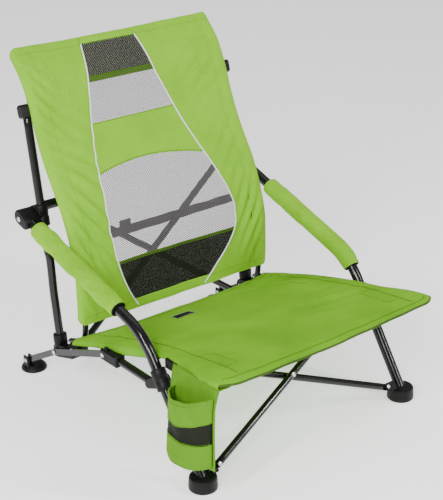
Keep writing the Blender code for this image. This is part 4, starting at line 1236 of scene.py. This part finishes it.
# back panel that hangs from the seat's side sleeve
rows, uv = [], []
for j in range(41):
    f = j / 40
    z = 0.0700 + (0.2390 - 0.0700) * f
    x = -0.2849 + (0.0095 * max(0.0, (f - 0.74) / 0.26) ** 1.6)
    y0 = 0.0575 + 0.010 * f
    y1 = -0.0570 - 0.0050 * f
    rows.append([W(x + 0.0008 * math.sin(i * 0.9 + f * 5), y0 + (y1 - y0) * i / 30, z)
                 for i in range(31)])
    uv.append([(y0 + (y1 - y0) * i / 30, z) for i in range(31)])
bm = grid_mesh(rows, lambda j, i: uv[j][i])
ob = put("pocket_back", bm, GREEN_POCKET_PAINTED_SHADE, "seat_left")
thicken(ob, 0.0012, 0.0)
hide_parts("cup_pocket")
edge = [rows[j][30] for j in range(41)]
ob = tube("pocket_edge_front", edge, 0.0018, GREEN_POCKET_PAINTED_SHADE, "seat_left", around=10)
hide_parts("cup_pocket")
edge = [rows[j][0] for j in range(41)]
ob = tube("pocket_edge_rear", edge, 0.0018, GREEN_POCKET_PAINTED_SHADE, "seat_left", around=10)
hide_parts("cup_pocket")
sew = []
for q0, q1, zf in ((0.03, 0.97, 0.1310), (0.03, 0.97, 0.1265), (0.03, 0.97, 0.0830)):
    sew.append([pocket_at(q0 + (q1 - q0) * k / 60, zf, 0.0014) for k in range(61)])
for d in (0.0455, 0.0060):
    line = []
    for k in range(61):
        q = 0.02 + 0.96 * k / 60
        y = PY + 0.055 * math.cos(math.pi * q)
        line.append(pocket_at(q, rim_z(y) - 0.0085 * math.sin(math.pi * q) ** 2 - d, 0.0014))
    sew.append(line)
ob = stitches("pocket_stitching", sew, THREAD, "seat_left", Vector((-1, 0, 0)))
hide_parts("cup_pocket")

for name in ("pocket_band_low", "pocket_mesh", "pocket_band_rim", "pocket_rim_roll",
             "pocket_bottom", "pocket_back", "pocket_edge_front", "pocket_edge_rear",
             "pocket_stitching"):
    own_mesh(bpy.data.objects[name])

# ------------------------------------------------------------------ floor, light, camera
def stage_mat():
    m, nt, b = new_mat("pale_floor", 0.9)
    tc = nt.nodes.new("ShaderNodeTexCoord")
    n = node(nt, "ShaderNodeTexNoise", Scale=3.0, Detail=2.0)
    nt.links.new(tc.outputs["Object"], n.inputs["Vector"])
    nt.links.new(ramp(nt, n.outputs[0], [(0.3, (0.90, 0.90, 0.90)), (0.7, (0.92, 0.92, 0.92))]),
                 b.inputs["Base Color"])
    b.inputs["Specular IOR Level"].default_value = 0.1
    b.inputs["Emission Color"].default_value = (1.0, 1.0, 1.0, 1)
    b.inputs["Emission Strength"].default_value = 0.80
    return m


bm = bmesh.new()
bmesh.ops.create_grid(bm, x_segments=4, y_segments=4, size=9.0)
me = bpy.data.meshes.new("floor")
bm.to_mesh(me)
bm.free()
floor = bpy.data.objects.new("floor", me)
floor.location = (0, 0, -0.0004)
bpy.context.scene.collection.objects.link(floor)
me.materials.append(stage_mat())
floor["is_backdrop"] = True

world = bpy.data.worlds.new("studio")
world.use_nodes = True
bg = world.node_tree.nodes["Background"]
bg.inputs[0].default_value = (1.0, 1.0, 1.0, 1.0)
bg.inputs[1].default_value = 0.42
bpy.context.scene.world = world


def area(name, at, target, size, power, colour=(1, 1, 1)):
    light = bpy.data.lights.new(name, "AREA")
    light.shape = "RECTANGLE"
    light.size, light.size_y = size
    light.energy = power
    light.color = colour
    ob = bpy.data.objects.new(name, light)
    ob.location = at
    ob.rotation_mode = "QUATERNION"
    ob.rotation_quaternion = (Vector(target) - Vector(at)).to_track_quat("-Z", "Y")
    bpy.context.scene.collection.objects.link(ob)
    return ob


area("key", (-2.4, -2.1, 2.0), (0, 0, 0.35), (1.3, 1.0), 88)
area("strip_left", (-2.4, -0.9, 2.0), (0, 0, 0.3), (0.12, 1.5), 60)
area("strip_right", (1.4, -2.3, 1.8), (0, 0, 0.3), (0.12, 1.5), 55)
area("top", (0.3, 0.4, 3.0), (0, 0, 0.3), (2.4, 1.8), 16)

# camera, as the chair is seen: 39 degrees round, 23 degrees above
yaw, pitch, roll = math.radians(39.130), math.radians(23.431), math.radians(-0.4146)
fwd = Vector((math.sin(yaw) * math.cos(pitch), math.cos(yaw) * math.cos(pitch), -math.sin(pitch)))
right = Vector((math.cos(yaw), -math.sin(yaw), 0.0))
up = right.cross(fwd)
r2 = right * math.cos(roll) + up * math.sin(roll)
u2 = -right * math.sin(roll) + up * math.cos(roll)
cam = bpy.data.cameras.new("camera")
cam.lens, cam.sensor_width = 95.484, 36.0
cam.clip_start, cam.clip_end = 0.05, 60.0
camera = bpy.data.objects.new("camera", cam)
camera.matrix_world = Matrix(((r2.x, u2.x, -fwd.x, -1.57231 + OX), (r2.y, u2.y, -fwd.y, -1.66603 + OY),
                              (r2.z, u2.z, -fwd.z, 1.40457), (0, 0, 0, 1)))
bpy.context.scene.collection.objects.link(camera)
bpy.context.scene.camera = camera

low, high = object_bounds()
